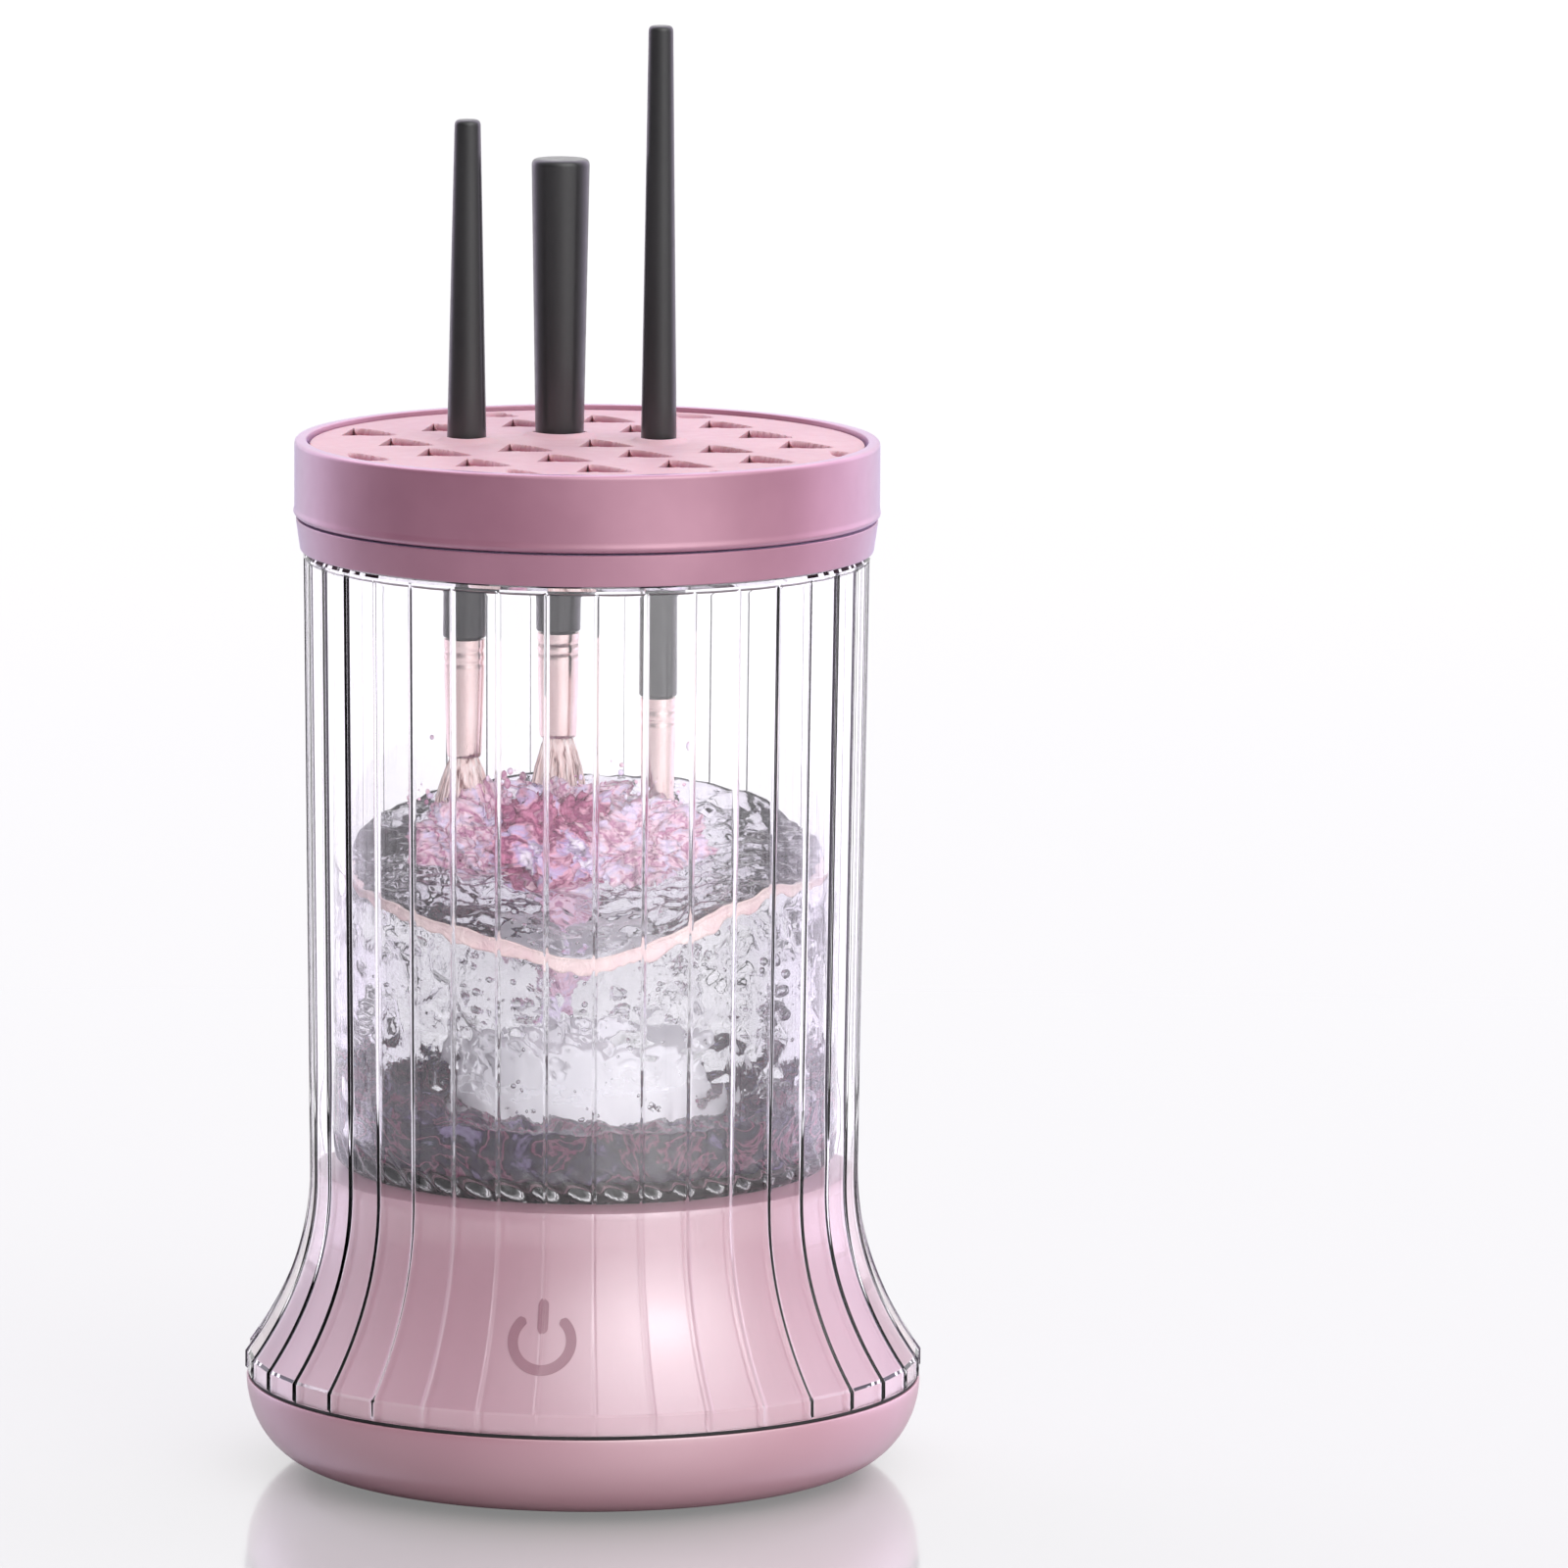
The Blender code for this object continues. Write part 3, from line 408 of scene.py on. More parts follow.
def moulded(name, light, dark, rough=(0.35, 0.5), grain=1200, **sockets):
    """Plain moulded plastic with a fine spark-eroded grain."""
    paint = Paint(name, **sockets)
    paint.colours(paint.noise(90, 4), (0.3, dark), (0.7, light))
    paint.roughness(paint.noise(grain / 3, 3), *rough)
    paint.bump(paint.noise(grain, 4), 0.00003, 0.3)
    return paint.material


def metal(name, light, dark, rough=(0.2, 0.4), stretch=(1, 1, 12)):
    """Turned or drawn metal with fine lines."""
    paint = Paint(name, Metallic=1.0)
    paint.colours(paint.noise(500, 5, stretch), (0.3, dark), (0.7, light))
    paint.roughness(paint.noise(900, 4, stretch), *rough)
    paint.bump(paint.noise(1500, 3, stretch), 0.00001, 0.3)
    return paint.material


# ---- mesh helpers -----------------------------------------------------------------------------

def rounded(outline, radius, steps=4, closed=True):
    """The outline with its corners eased; a corner may carry its own radius as a third number."""
    count = len(outline)
    made = []
    for k, corner in enumerate(outline):
        point = Vector(corner[:2])
        if not closed and k in (0, count - 1):
            made.append(tuple(point))
            continue
        ease = corner[2] if len(corner) > 2 else radius
        before = Vector(outline[k - 1][:2]) - point
        after = Vector(outline[(k + 1) % count][:2]) - point
        reach = min(ease, before.length * 0.45, after.length * 0.45)
        if reach < 1e-6:
            made.append(tuple(point))
            continue
        start = point + before.normalized() * reach
        end = point + after.normalized() * reach
        for step in range(steps + 1):
            t = step / steps
            made.append(tuple(start * (1 - t) ** 2 + point * 2 * t * (1 - t) + end * t ** 2))
    return made


def skin(bm, rows, caps=False, loop=False):
    """Quads between closed rows of vertices; caps fills the end rows, loop joins the last to the first."""
    count = len(rows[0])
    for one, two in zip(rows, rows[1:] + (rows[:1] if loop else [])):
        for k in range(count):
            bm.faces.new([one[k], one[(k + 1) % count], two[(k + 1) % count], two[k]])
    if caps:
        bm.faces.new(rows[0])
        bm.faces.new(rows[-1])


def turned_mesh(outline, steps):
    """A turned shape about Z; an outline with both ends on the axis makes a solid."""
    return add_turned(bmesh.new(), outline, steps)


def add_turned(bm, outline, steps):
    """Add a turned shape about Z to a bmesh."""
    solid = outline[0][0] < 1e-9
    rings = []
    for radius, height in outline:
        if radius < 1e-9:
            rings.append([bm.verts.new((0, 0, height))] * steps)
            continue
        turn = TAU / steps
        rings.append([
            bm.verts.new((radius * math.cos(turn * k), radius * math.sin(turn * k), height))
            for k in range(steps)
        ])
    pairs = list(zip(rings, rings[1:]))
    if not solid:
        pairs.append((rings[-1], rings[0]))
    for one, two in pairs:
        for k in range(steps):
            corners = [one[k], one[(k + 1) % steps], two[(k + 1) % steps], two[k]]
            distinct = list(dict.fromkeys(corners))
            if len(distinct) > 2:
                bm.faces.new(distinct)
    return bm


def add_piece(name, bm, material, body, nodes=(), sharp=35, place=(0, 0, 0)):
    """Make a named piece from a bmesh and put it on its body in place of CAD nodes."""
    bmesh.ops.recalc_face_normals(bm, faces=bm.faces)
    mesh = bpy.data.meshes.new(name)
    bm.to_mesh(mesh)
    bm.free()
    mesh.shade_smooth()
    mesh.materials.append(material)
    piece = bpy.data.objects.new(name, mesh)
    if sharp:
        mesh.set_sharp_from_angle(angle=math.radians(sharp))
        even = piece.modifiers.new("even_normals", "WEIGHTED_NORMAL")
        even.keep_sharp = True
        even.weight = 100
    bpy.context.scene.collection.objects.link(piece)
    piece.location = place
    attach(piece, body)
    if nodes:
        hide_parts(*nodes)
    return piece


def cut(piece, bm, name):
    """Cut a shape out of a piece and keep the result as its mesh."""
    mesh = bpy.data.meshes.new(name)
    bmesh.ops.recalc_face_normals(bm, faces=bm.faces)
    bm.to_mesh(mesh)
    bm.free()
    tool = bpy.data.objects.new(name, mesh)
    bpy.context.scene.collection.objects.link(tool)
    change = piece.modifiers.new(name, "BOOLEAN")
    change.operation = "DIFFERENCE"
    change.solver = "EXACT"
    change.object = tool
    bpy.context.view_layer.update()
    shaped = bpy.data.meshes.new_from_object(piece.evaluated_get(bpy.context.evaluated_depsgraph_get()))
    piece.modifiers.clear()
    old = piece.data
    piece.data = shaped
    bpy.data.meshes.remove(old)
    bpy.data.objects.remove(tool, do_unlink=True)


def shell_radius(z):
    """Outer radius of the clear shell over its ridges."""
    if z >= WAIST_Z:
        return WAIST_R + (BARREL_TOP_R - WAIST_R) * (z - WAIST_Z) / (SHELL_HIGH.z - WAIST_Z)
    drop = min(1.0, (WAIST_Z - z) / (WAIST_Z - SKIRT_Z))
    return WAIST_R + (SKIRT_R - WAIST_R) * drop ** SKIRT_CURVE


def core_radius(z):
    """Outer radius of the pink core, close inside the clear wall."""
    return shell_radius(z) * math.cos(PI / RIDGES) - shell_wall(z) - CORE_SPACE


def steps_between(low, high, count):
    """Evenly spaced numbers from low to high."""
    return [low + (high - low) * k / count for k in range(count + 1)]


def arc(centre, reach, turns):
    """Outline points round a centre: the radius follows the sine of the turn, the height its cosine."""
    return [(centre[0] + reach[0] * math.sin(a), centre[1] + reach[1] * math.cos(a)) for a in turns]


# ---- casing -----------------------------------------------------------------------------------

RIDGE_HALF = 0.42 * MM
RIDGE_HEIGHT = 0.24 * MM
BARREL_WALL = 1.7 * MM
SKIRT_WALL = 1.1 * MM


def shell_wall(z):
    """Thickness of the clear wall, which thins from the waist into the skirt."""
    drop = min(1.0, max(0.0, (WAIST_Z + 16 * MM - z) / (12 * MM)))
    return BARREL_WALL + (SKIRT_WALL - BARREL_WALL) * drop * drop * (3 - 2 * drop)


def fluted_mesh(outline, stops):
    """A closed ring section turned through a set of angles."""
    bm = bmesh.new()
    rows = [[bm.verts.new((r * math.cos(a), r * math.sin(a), z)) for a in stops] for r, z in outline]
    skin(bm, rows, loop=True)
    return bm


def make_shell(material):
    """Clear barrel and skirt: flat facets between narrow raised ridges that run out under the collar."""
    pitch = TAU / RIDGES
    edge = RIDGE_HALF / WAIST_R / pitch
    shares = [0, 0.3, 0.55, 0.8, 1.0, 1.25]
    turns = [s * edge for s in shares] + [0.22, 0.36, 0.5, 0.64, 0.78] + [1 - s * edge for s in shares[:0:-1]]
    stops = [(k + t - RIDGES / 4) * pitch for k in range(RIDGES) for t in turns]
    heights = steps_between(FLUTE_TOP_Z + 0.2 * MM, FLUTE_TOP_Z - 0.8 * MM, 6)
    falls = steps_between(WAIST_Z + 16 * MM, WAIST_Z + 2 * MM, 7)
    heights += steps_between(FLUTE_TOP_Z - 8 * MM, WAIST_Z + 20 * MM, 8) + falls
    heights += steps_between(WAIST_Z, SKIRT_Z, 26) + [SHELL_FOOT_Z + 0.9 * MM, SHELL_FOOT_Z + 0.4 * MM]
    outside = [(shell_radius(SHELL_HIGH.z) - 0.4 * MM, SHELL_HIGH.z)]
    outside += [(shell_radius(SHELL_HIGH.z - 0.4 * MM), SHELL_HIGH.z - 0.4 * MM)]
    outside += [(shell_radius(z), z) for z in heights]
    outside += [(shell_radius(SHELL_FOOT_Z) - 0.4 * MM, SHELL_FOOT_Z)]
    inside_z = [SHELL_HIGH.z, WAIST_Z + 60 * MM, WAIST_Z + 20 * MM] + falls
    inside_z += steps_between(WAIST_Z, SKIRT_Z, 26) + [SHELL_FOOT_Z]
    inside = [(shell_radius(z) - RIDGE_HEIGHT - shell_wall(z), z) for z in inside_z]
    bm = fluted_mesh(outside + inside[::-1], stops)
    for vert in bm.verts:
        x, y, z = vert.co
        radius = math.hypot(x, y)
        turn = (math.atan2(y, x) / pitch) % 1.0
        from_ridge = min(turn, 1 - turn)
        if radius < shell_radius(z) - shell_wall(z) * 0.6:
            chord = math.cos(pitch / 2) / math.cos((0.5 - from_ridge) * pitch)
            vert.co = (x * chord, y * chord, z)
            continue
        if z > SHELL_HIGH.z - 0.5 * MM or z < SHELL_FOOT_Z + 0.1 * MM:
            continue
        off = from_ridge * pitch * radius / (RIDGE_HALF * radius / WAIST_R)
        raised = RIDGE_HEIGHT * (0.5 + 0.5 * math.cos(PI * min(1.0, off)))
        chord = math.cos(pitch / 2) / math.cos((0.5 - from_ridge) * pitch)
        start = min(1.0, max(0.0, (FLUTE_TOP_Z - z) / (0.6 * MM)))
        ease = math.sqrt(1 - (1 - start) ** 2)
        wanted = (radius - RIDGE_HEIGHT) * chord + raised
        share = (radius + (wanted - radius) * ease) / radius
        vert.co = (x * share, y * share, z)
    add_piece("clear_shell", bm, material, "base", ["outer_shell"], sharp=30)


def make_core(material):
    """Pink core with its deck, turned smooth."""
    edge = core_radius(WAIST_Z)
    wall = 1.8 * MM
    deck = CORE_HIGH.z
    outside = [(0, deck), (edge - 6 * MM, deck), (edge - 1.2 * MM, deck)]
    outside += [(edge - 0.35 * MM, deck - 0.35 * MM), (edge, deck - 1.2 * MM)]
    falls = steps_between(WAIST_Z - 2 * MM, SKIRT_Z, 24)
    outside += [(core_radius(z), z) for z in falls]
    foot_z = SEAM_LOW.z
    outside += [(core_radius(SKIRT_Z), foot_z)]
    inside = [(core_radius(SKIRT_Z) - wall, foot_z)]
    inside += [(core_radius(z) - wall, z) for z in reversed(falls)]
    inside += [(edge - wall, deck - wall), (0, deck - wall)]
    bm = turned_mesh(outside + inside, 192)
    add_piece("pink_core", bm, material, "base", ["core_shell"])


def on_core(angle, z, lift):
    """A point on the core's surface, lifted along its normal."""
    slope = (core_radius(z + 0.1 * MM) - core_radius(z - 0.1 * MM)) / (0.2 * MM)
    scale = 1 / math.hypot(1, slope)
    radius = core_radius(z) + lift * scale
    return Vector((radius * math.cos(angle), radius * math.sin(angle), z - lift * slope * scale))


def make_power_symbol(material):
    """The printed power symbol, a broken ring and a bar, that follows the core's curve."""
    centre_z = 27.6 * MM
    ring_r = 4.45 * MM
    half = 0.8 * MM
    gap = math.radians(37)
    low, high = 0.03 * MM, 0.10 * MM
    slope = (core_radius(centre_z + MM) - core_radius(centre_z - MM)) / (2 * MM)
    rise = 1 / math.hypot(1, slope)

    def place(u, v, lift):
        z = centre_z + v * rise
        return on_core(-PI / 2 + u / core_radius(z), z, lift)

    bm = bmesh.new()

    def ribbon(path):
        """A flat strip along (u, v, across u, across v) stations, closed all round."""
        rows = []
        for u, v, nu, nv in path:
            corners = ((-1, low), (-1, high), (1, high), (1, low))
            rows.append([bm.verts.new(place(u + nu * s, v + nv * s, lift)) for s, lift in corners])
        skin(bm, rows, caps=True)

    sweep = []
    for turn in steps_between(gap, TAU - gap, 64):
        spread = min(1.0, math.sqrt(max(0.0, min(turn - gap, TAU - gap - turn)) / 0.09 + 0.02))
        u, v = math.sin(turn), math.cos(turn)
        sweep.append((ring_r * u, ring_r * v, half * u * spread, half * v * spread))
    ribbon(sweep)
    bar = []
    for t in steps_between(0, 1, 14):
        spread = min(1.0, math.sqrt(min(t, 1 - t) / 0.12 + 0.02))
        bar.append((0, (1.2 + 5.6 * t) * MM, 0.78 * MM * spread, 0))
    ribbon(bar)
    add_piece("power_symbol", bm, material, "base")


def make_tray(material):
    """Rounded pink tray with its groove, floor rib and port cut-out."""
    flat_r, rim_z, under = 41.0 * MM, TRAY_HIGH.z, TRAY_LOW.z
    bulge = TRAY_HIGH.x - flat_r
    roof = under + 1.4 * MM
    rib_low_r, rib_high_r = 30 * MM, 38.5 * MM
    floor_z, rib_z, hollow = 2.8 * MM, 4.6 * MM, 11.2 * MM
    outline = [(0, under), (FOOT_LOW_R, under), (FOOT_LOW_R, roof), (FOOT_HIGH_R, roof), (FOOT_HIGH_R, under)]
    outline += arc((flat_r, rim_z), (bulge, under - rim_z), steps_between(0, PI / 2 * 0.985, 26))
    outline += [(flat_r + bulge - 0.15 * MM, rim_z)]
    outline += [(flat_r + bulge - 2.1 * MM, rim_z)]
    inner = flat_r - 1.6 * MM
    outline += arc((inner, rim_z), (bulge - 0.5 * MM, -hollow), steps_between(PI / 2 * 0.95, 0, 16))
    outline += [(rib_high_r, floor_z), (rib_high_r, rib_z), (rib_low_r, rib_z), (rib_low_r, floor_z)]
    outline += [(0, floor_z)]
    bm = turned_mesh(outline, 192)
    tray = add_piece("pink_tray", bm, material, "base", ["bottom_tray"])
    middle = (PORT_LOW + PORT_HIGH) / 2
    room = 0.4 * MM
    width = PORT_HIGH.x - PORT_LOW.x + 2 * room
    height = PORT_HIGH.z - PORT_LOW.z + 2 * room
    bm = rounded_bar(width, height, height * 0.48, PORT_LOW.y - 1.5 * MM, PORT_HIGH.y + 4 * MM, middle.z)
    cut(tray, bm, "port_tool")


def rounded_bar(width, height, corner, low_y, high_y, middle_z):
    """A bar along Y with a rounded rectangular section."""
    bm = bmesh.new()
    section = []
    for sx, sz, start in ((1, 1, 0), (-1, 1, 1), (-1, -1, 2), (1, -1, 3)):
        for turn in steps_between(start * PI / 2, (start + 1) * PI / 2, 8):
            x = sx * (width / 2 - corner) + corner * math.cos(turn)
            z = sz * (height / 2 - corner) + corner * math.sin(turn)
            section.append((x, z))
    ends = [[bm.verts.new((x, y, middle_z + z)) for x, z in section] for y in (low_y, high_y)]
    skin(bm, ends, caps=True)
    bmesh.ops.remove_doubles(bm, verts=bm.verts, dist=1e-7)
    return bm


def ring_piece(name, outline, material, body, nodes, ease=0.15 * MM, steps=192, sharp=35):
    """A turned ring or solid with eased corners."""
    solid = outline[0][0] < 1e-9
    bm = turned_mesh(rounded(outline, ease, 3, closed=not solid), steps)
    add_piece(name, bm, material, body, nodes, sharp)


# ---- cup, mat, hub ----------------------------------------------------------------------------

CUP_R = 38.0 * MM
CUP_WALL = 1.8 * MM
CUP_FLOOR = CUP_LOW.z + 2.0 * MM
DIMPLES = 10
PETALS = 6
MAT_RIBS = 20
GRIP_RIBS = 44
GRIP_SLANT = 2.6 * MM
GRIP_DEPTH = 0.95 * MM


def make_cup(clear, rose):
    """Clear wash cup, with slanted grip ribs round its foot, and the collar on its rim."""
    flange = CUP_HIGH.x
    flange_z = COLLAR_LOW.z
    inner = CUP_R - CUP_WALL
    ribs_top = CUP_LOW.z + 6.5 * MM
    heel, hollow, lip = 2.2 * MM, 2.4 * MM, 0.4 * MM
    outline = [(0, CUP_LOW.z), (CUP_R - heel, CUP_LOW.z)]
    outline += arc((CUP_R - heel, CUP_LOW.z + heel), (heel, -heel), steps_between(0.2, PI / 2, 5))
    outline += [(CUP_R, z) for z in steps_between(CUP_LOW.z + 2.8 * MM, ribs_top, 9)]
    outline += [(CUP_R, z) for z in steps_between(ribs_top + 6 * MM, flange_z, 10)]
    outline += [(flange, flange_z), (flange, flange_z + 1.6 * MM), (CUP_R, flange_z + 1.6 * MM)]
    outline += [(CUP_R, CUP_HIGH.z - lip), (CUP_R - lip, CUP_HIGH.z), (inner + lip, CUP_HIGH.z)]
    outline += [(inner, z) for z in steps_between(CUP_HIGH.z - lip, CUP_FLOOR + 3 * MM, 12)]
    outline += arc((inner - hollow, CUP_FLOOR + hollow), (hollow, -hollow), steps_between(PI / 2, 0, 6))
    outline += [(0, CUP_FLOOR)]
    bm = turned_mesh(outline, 432)
    for vert in bm.verts:
        x, y, z = vert.co
        radius = math.hypot(x, y)
        if z < ribs_top - 0.1 * MM and radius > inner + 0.2 * MM:
            turn = math.atan2(y, x) * GRIP_RIBS + (z - CUP_LOW.z) / GRIP_SLANT * PI
            fade = min(1.0, (ribs_top - z) / (1.5 * MM))
            share = (radius - GRIP_DEPTH * fade * (0.5 - 0.5 * math.cos(turn))) / radius
            vert.co = (x * share, y * share, z)
    add_piece("wash_cup", bm, clear, "cup", ["inner_cup"], sharp=50)
    over = flange_z + 1.9 * MM
    low_r = COLLAR_HIGH.x - 0.7 * MM
    outline = [(flange + 0.3 * MM, flange_z), (low_r, flange_z), (COLLAR_HIGH.x, COLLAR_HIGH.z, 0.3 * MM)]
    outline += [(CUP_R + 0.6 * MM, COLLAR_HIGH.z), (CUP_R + 0.6 * MM, over), (flange + 0.3 * MM, over)]
    ring_piece("collar", outline, rose, "cup", ["collar_ring"], 0.25 * MM)


def make_mat(material):
    """Scrubbing mat: long ribs, short ribs between them, and rings of zig-zag ridges and nibs inside."""
    steps = 720
    hole = 6.0 * MM
    low = MAT_LOW.z
    top = MAT_HIGH.z - 1.2 * MM
    radius = MAT_HIGH.x
    radii = [hole, hole + 0.4 * MM] + steps_between(hole + 1.0 * MM, radius - 0.8 * MM, 96)
    radii += [radius - 0.3 * MM, radius]
    outline = [(hole, low)] + [(r, top) for r in radii] + [(radius, low)]
    outline[1] = (hole, top - 0.3 * MM)
    outline[-2] = (radius, top - 0.4 * MM)
    bm = turned_mesh(outline, steps)
    for vert in bm.verts:
        x, y, z = vert.co
        if z < top - 0.1 * MM:
            continue
        r = math.hypot(x, y)
        vert.co.z = top + mat_relief(math.atan2(y, x) % TAU, r, radius)
    add_piece("scrub_mat", bm, material, "spinner", ["cleaning_mat"], sharp=0)


def bump_shape(distance, half, height):
    """A rounded ridge section."""
    t = abs(distance) / half
    return height * math.sqrt(1 - t * t) if t < 1 else 0.0


def mat_relief(angle, r, radius):
    """Height of the mat's pattern over its flat face."""
    share = r / radius
    height = 0.0
    pitch = TAU / MAT_RIBS
    turn = (angle / pitch) % 1.0
    long_off = min(turn, 1 - turn) * pitch * r
    short_off = abs(turn - 0.5) * pitch * r
    half = 0.62 * MM
    if 0.60 < share < 0.985:
        ends = min(1.0, (share - 0.60) / 0.015, (0.985 - share) / 0.012)
        height = max(height, bump_shape(long_off, half, 1.15 * MM * math.sqrt(max(0.0, ends))))
    for low, high in ((0.60, 0.705), (0.865, 0.975)):
        if low < share < high:
            ends = min(1.0, (share - low) / 0.015, (high - share) / 0.012)
            height = max(height, bump_shape(short_off, half * 0.85, 0.95 * MM * math.sqrt(max(0.0, ends))))
    for ring, teeth in ((0.53, 30), (0.36, 20), (0.21, 12)):
        cell = (angle / TAU * teeth) % 1.0
        wave = abs(2 * cell - 1)
        off = (share - ring - 0.018 * (1 if wave > 0.5 else -1) * min(1.0, abs(wave - 0.5) * 6)) * radius
        height = max(height, bump_shape(off, 0.38 * MM, 0.65 * MM))
        tooth = (angle / TAU * teeth * 3) % 1.0
        side = abs(tooth - 0.5) * TAU * r / (teeth * 3)
        if 0 < off < 1.5 * MM:
            height = max(height, bump_shape(side, 0.28 * MM, 0.5 * MM * (1 - off / (1.6 * MM))))
    cell = (angle / TAU * MAT_RIBS + 0.5) % 1.0
    away = math.hypot((share - 0.435) * radius, (cell - 0.5) * TAU * r / MAT_RIBS)
    return max(height, bump_shape(away, 0.75 * MM, 0.6 * MM))


def make_hub(material):
    """White agitator hub: two-step drum with round dimples, petal blades, and a bore for the spindle pin."""
    low, deck, top = HUB_LOW.z, 68.5 * MM, HUB_HIGH.z
    outer = HUB_HIGH.x
    upper = outer - 0.6 * MM
    step = 62.0 * MM
    shoulder = 1.0 * MM
    outline = [(0, deck)] + [(r, deck) for r in steps_between(7 * MM, upper - 1.2 * MM, 4)]
    outline += arc((upper - shoulder, deck - shoulder), (shoulder, shoulder), steps_between(0, PI / 2, 5))
    outline += [(upper, z) for z in steps_between(deck - 1.2 * MM, step + 0.3 * MM, 22)]
    outline += [(upper - 0.3 * MM, step), (outer - 0.3 * MM, step - 0.15 * MM), (outer, step - 0.5 * MM)]
    neck, bore, bore_top = 5.6 * MM, 3.4 * MM, deck - 1.6 * MM
    outline += [(outer, MAT_HIGH.z + 0.3 * MM), (outer - 0.3 * MM, MAT_HIGH.z), (neck, MAT_HIGH.z)]
    outline += [(neck, low), (bore, low), (bore, bore_top), (0, bore_top)]
    bm = turned_mesh(outline, 256)
    for vert in bm.verts:
        x, y, z = vert.co
        radius = math.hypot(x, y)
        if radius < upper - 0.2 * MM or not step < z < deck:
            continue
        turn = (math.atan2(y, x) / (TAU / DIMPLES) + 0.15) % 1.0
        away = math.hypot((turn - 0.5) * TAU / DIMPLES * radius, z - (step + 3.2 * MM))
        share = (radius - bump_shape(away, 1.7 * MM, 1.1 * MM)) / radius
        vert.co = (x * share, y * share, z)
    root = deck - 0.2 * MM
    for k in range(PETALS):
        tip = top - (0 if k % 2 else 0.9 * MM)
        add_petal(bm, k * TAU / PETALS + 0.3, 5.2 * MM, 7.1 * MM, root, tip)
    add_petal(bm, 0, 0, 4.6 * MM, root, top - 1.2 * MM, full=True)
    add_piece("hub", bm, material, "spinner", ["agitator_hub"], sharp=40)


def add_petal(bm, turn, inner, outer, low, high, full=False):
    """A curved blade standing on the hub, or the round turret when full."""
    span = PI if full else 0.42
    angles = steps_between(turn - span, turn + span, 24 if full else 8)
    if full:
        base = [Vector((outer * math.cos(a), outer * math.sin(a), 0)) for a in angles[:-1]]
        add_prism(bm, base, low, high)
        return
    rows = []
    for index, a in enumerate(angles):
        lift = math.sin(PI * index / 8) ** 0.6
        crest = low + (high - low) * (0.45 + 0.55 * lift)
        ring = [(inner, low), (inner + 0.3 * MM, crest), (outer - 0.3 * MM, crest), (outer, low)]
        rows.append([bm.verts.new((r * math.cos(a), r * math.sin(a), z)) for r, z in ring])
    skin(bm, rows, caps=True)


def make_turntable(material):
    """White turntable under the mat: a flat ring with eased edges."""
    low, high, bore = TABLE_LOW, TABLE_HIGH, 3.3 * MM
    outline = [(bore, low.z), (high.x, low.z), (high.x, high.z), (bore, high.z)]
    ring_piece("spin_table", outline, material, "spinner", ["turntable"], 0.4 * MM, 144)


# ---- wash water -------------------------------------------------------------------------------

WATER_R = CUP_R - CUP_WALL + 0.12 * MM


def swirl_noise(point, size, octaves=4):
    """Turbulence of a given cell size, about zero."""
    return noise.fractal(point / size, 0.6, 2.1, octaves)


def water_height(u, v):
    """Height of the swirling surface; u is to the camera's right and v away from it."""
    share = min(1.0, math.hypot(u, v) / WATER_R)
    tilt = 7.4 * (v / WATER_R) * share ** 0.3
    dip = -2.6 * math.exp(-((u + 2 * MM) / (13 * MM)) ** 2) * max(0.0, -v / WATER_R)
    rise = 2.4 * math.exp(-((u - 27 * MM) / (12 * MM)) ** 2) * max(0.0, 0.4 - v / WATER_R)
    point = Vector((u, v, 0))
    rough = 1.1 * swirl_noise(point + Vector((0.3, 0.1, 0.2)), 14 * MM, 3)
    calm = 1.0 if share < 0.9 else (1 - share) / 0.1
    rough += 0.55 * swirl_noise(point, 4.2 * MM, 3) * calm
    return (95.6 + tilt + dip + rise + rough) * MM


def make_water(material):
    """Wash water thrown up at the back of the cup by the spinning mat."""
    around, across = 300, 84
    bm = bmesh.new()
    rows = []
    for k in range(1, across + 1):
        radius = WATER_R * (k / across) ** 0.85
        row = []
        for j in range(around):
            turn = TAU * j / around
            u, v = radius * math.cos(turn), radius * math.sin(turn)
            place = RIGHT * u + AWAY * v
            row.append(bm.verts.new((place.x, place.y, water_height(u, v))))
        rows.append(row)
    for share in steps_between(0.02, 1.0, 60):
        row = []
        for j in range(around):
            turn = TAU * j / around
            u, v = WATER_R * math.cos(turn), WATER_R * math.sin(turn)
            top = water_height(u, v)
            place = RIGHT * u + AWAY * v
            place.z = top + (CUP_FLOOR + 2.2 * MM - top) * share
            sample = Vector((u, v, place.z * 0.8)) + Vector((0.5, 0.4, 0.1))
            dent = max(0.0, swirl_noise(sample, 7 * MM, 4) - 0.10)
            calm = min(1.0, share / 0.06, (1 - share) / 0.45)
            inward = 1 - min(1.6 * MM, 3.2 * MM * dent) * max(0.0, calm) / WATER_R
            row.append(bm.verts.new((place.x * inward, place.y * inward, place.z)))
        rows.append(row)
    for drop in steps_between(0.25, 1.0, 4):
        turn_in = PI / 2 * drop
        radius = WATER_R - 2.4 * MM * (1 - math.cos(turn_in))
        height = CUP_FLOOR - 0.1 * MM + 2.3 * MM * (1 - math.sin(turn_in))
        turns = [TAU * j / around + CAMERA_TURN for j in range(around)]
        rows.append([bm.verts.new((radius * math.cos(a), radius * math.sin(a), height)) for a in turns])
    skin(bm, rows)
    bm.faces.new(rows[-1])
    middle = bm.verts.new((0, 0, water_height(0, 0)))
    for j in range(around):
        bm.faces.new([middle, rows[0][j], rows[0][(j + 1) % around]])
    add_piece("wash_water", bm, material, "cup", sharp=0)


def seen_at(right, away, up):
    """The place that lies this far to the camera's right, away from it and up."""
    return RIGHT * right + AWAY * away + Vector((0, 0, up))


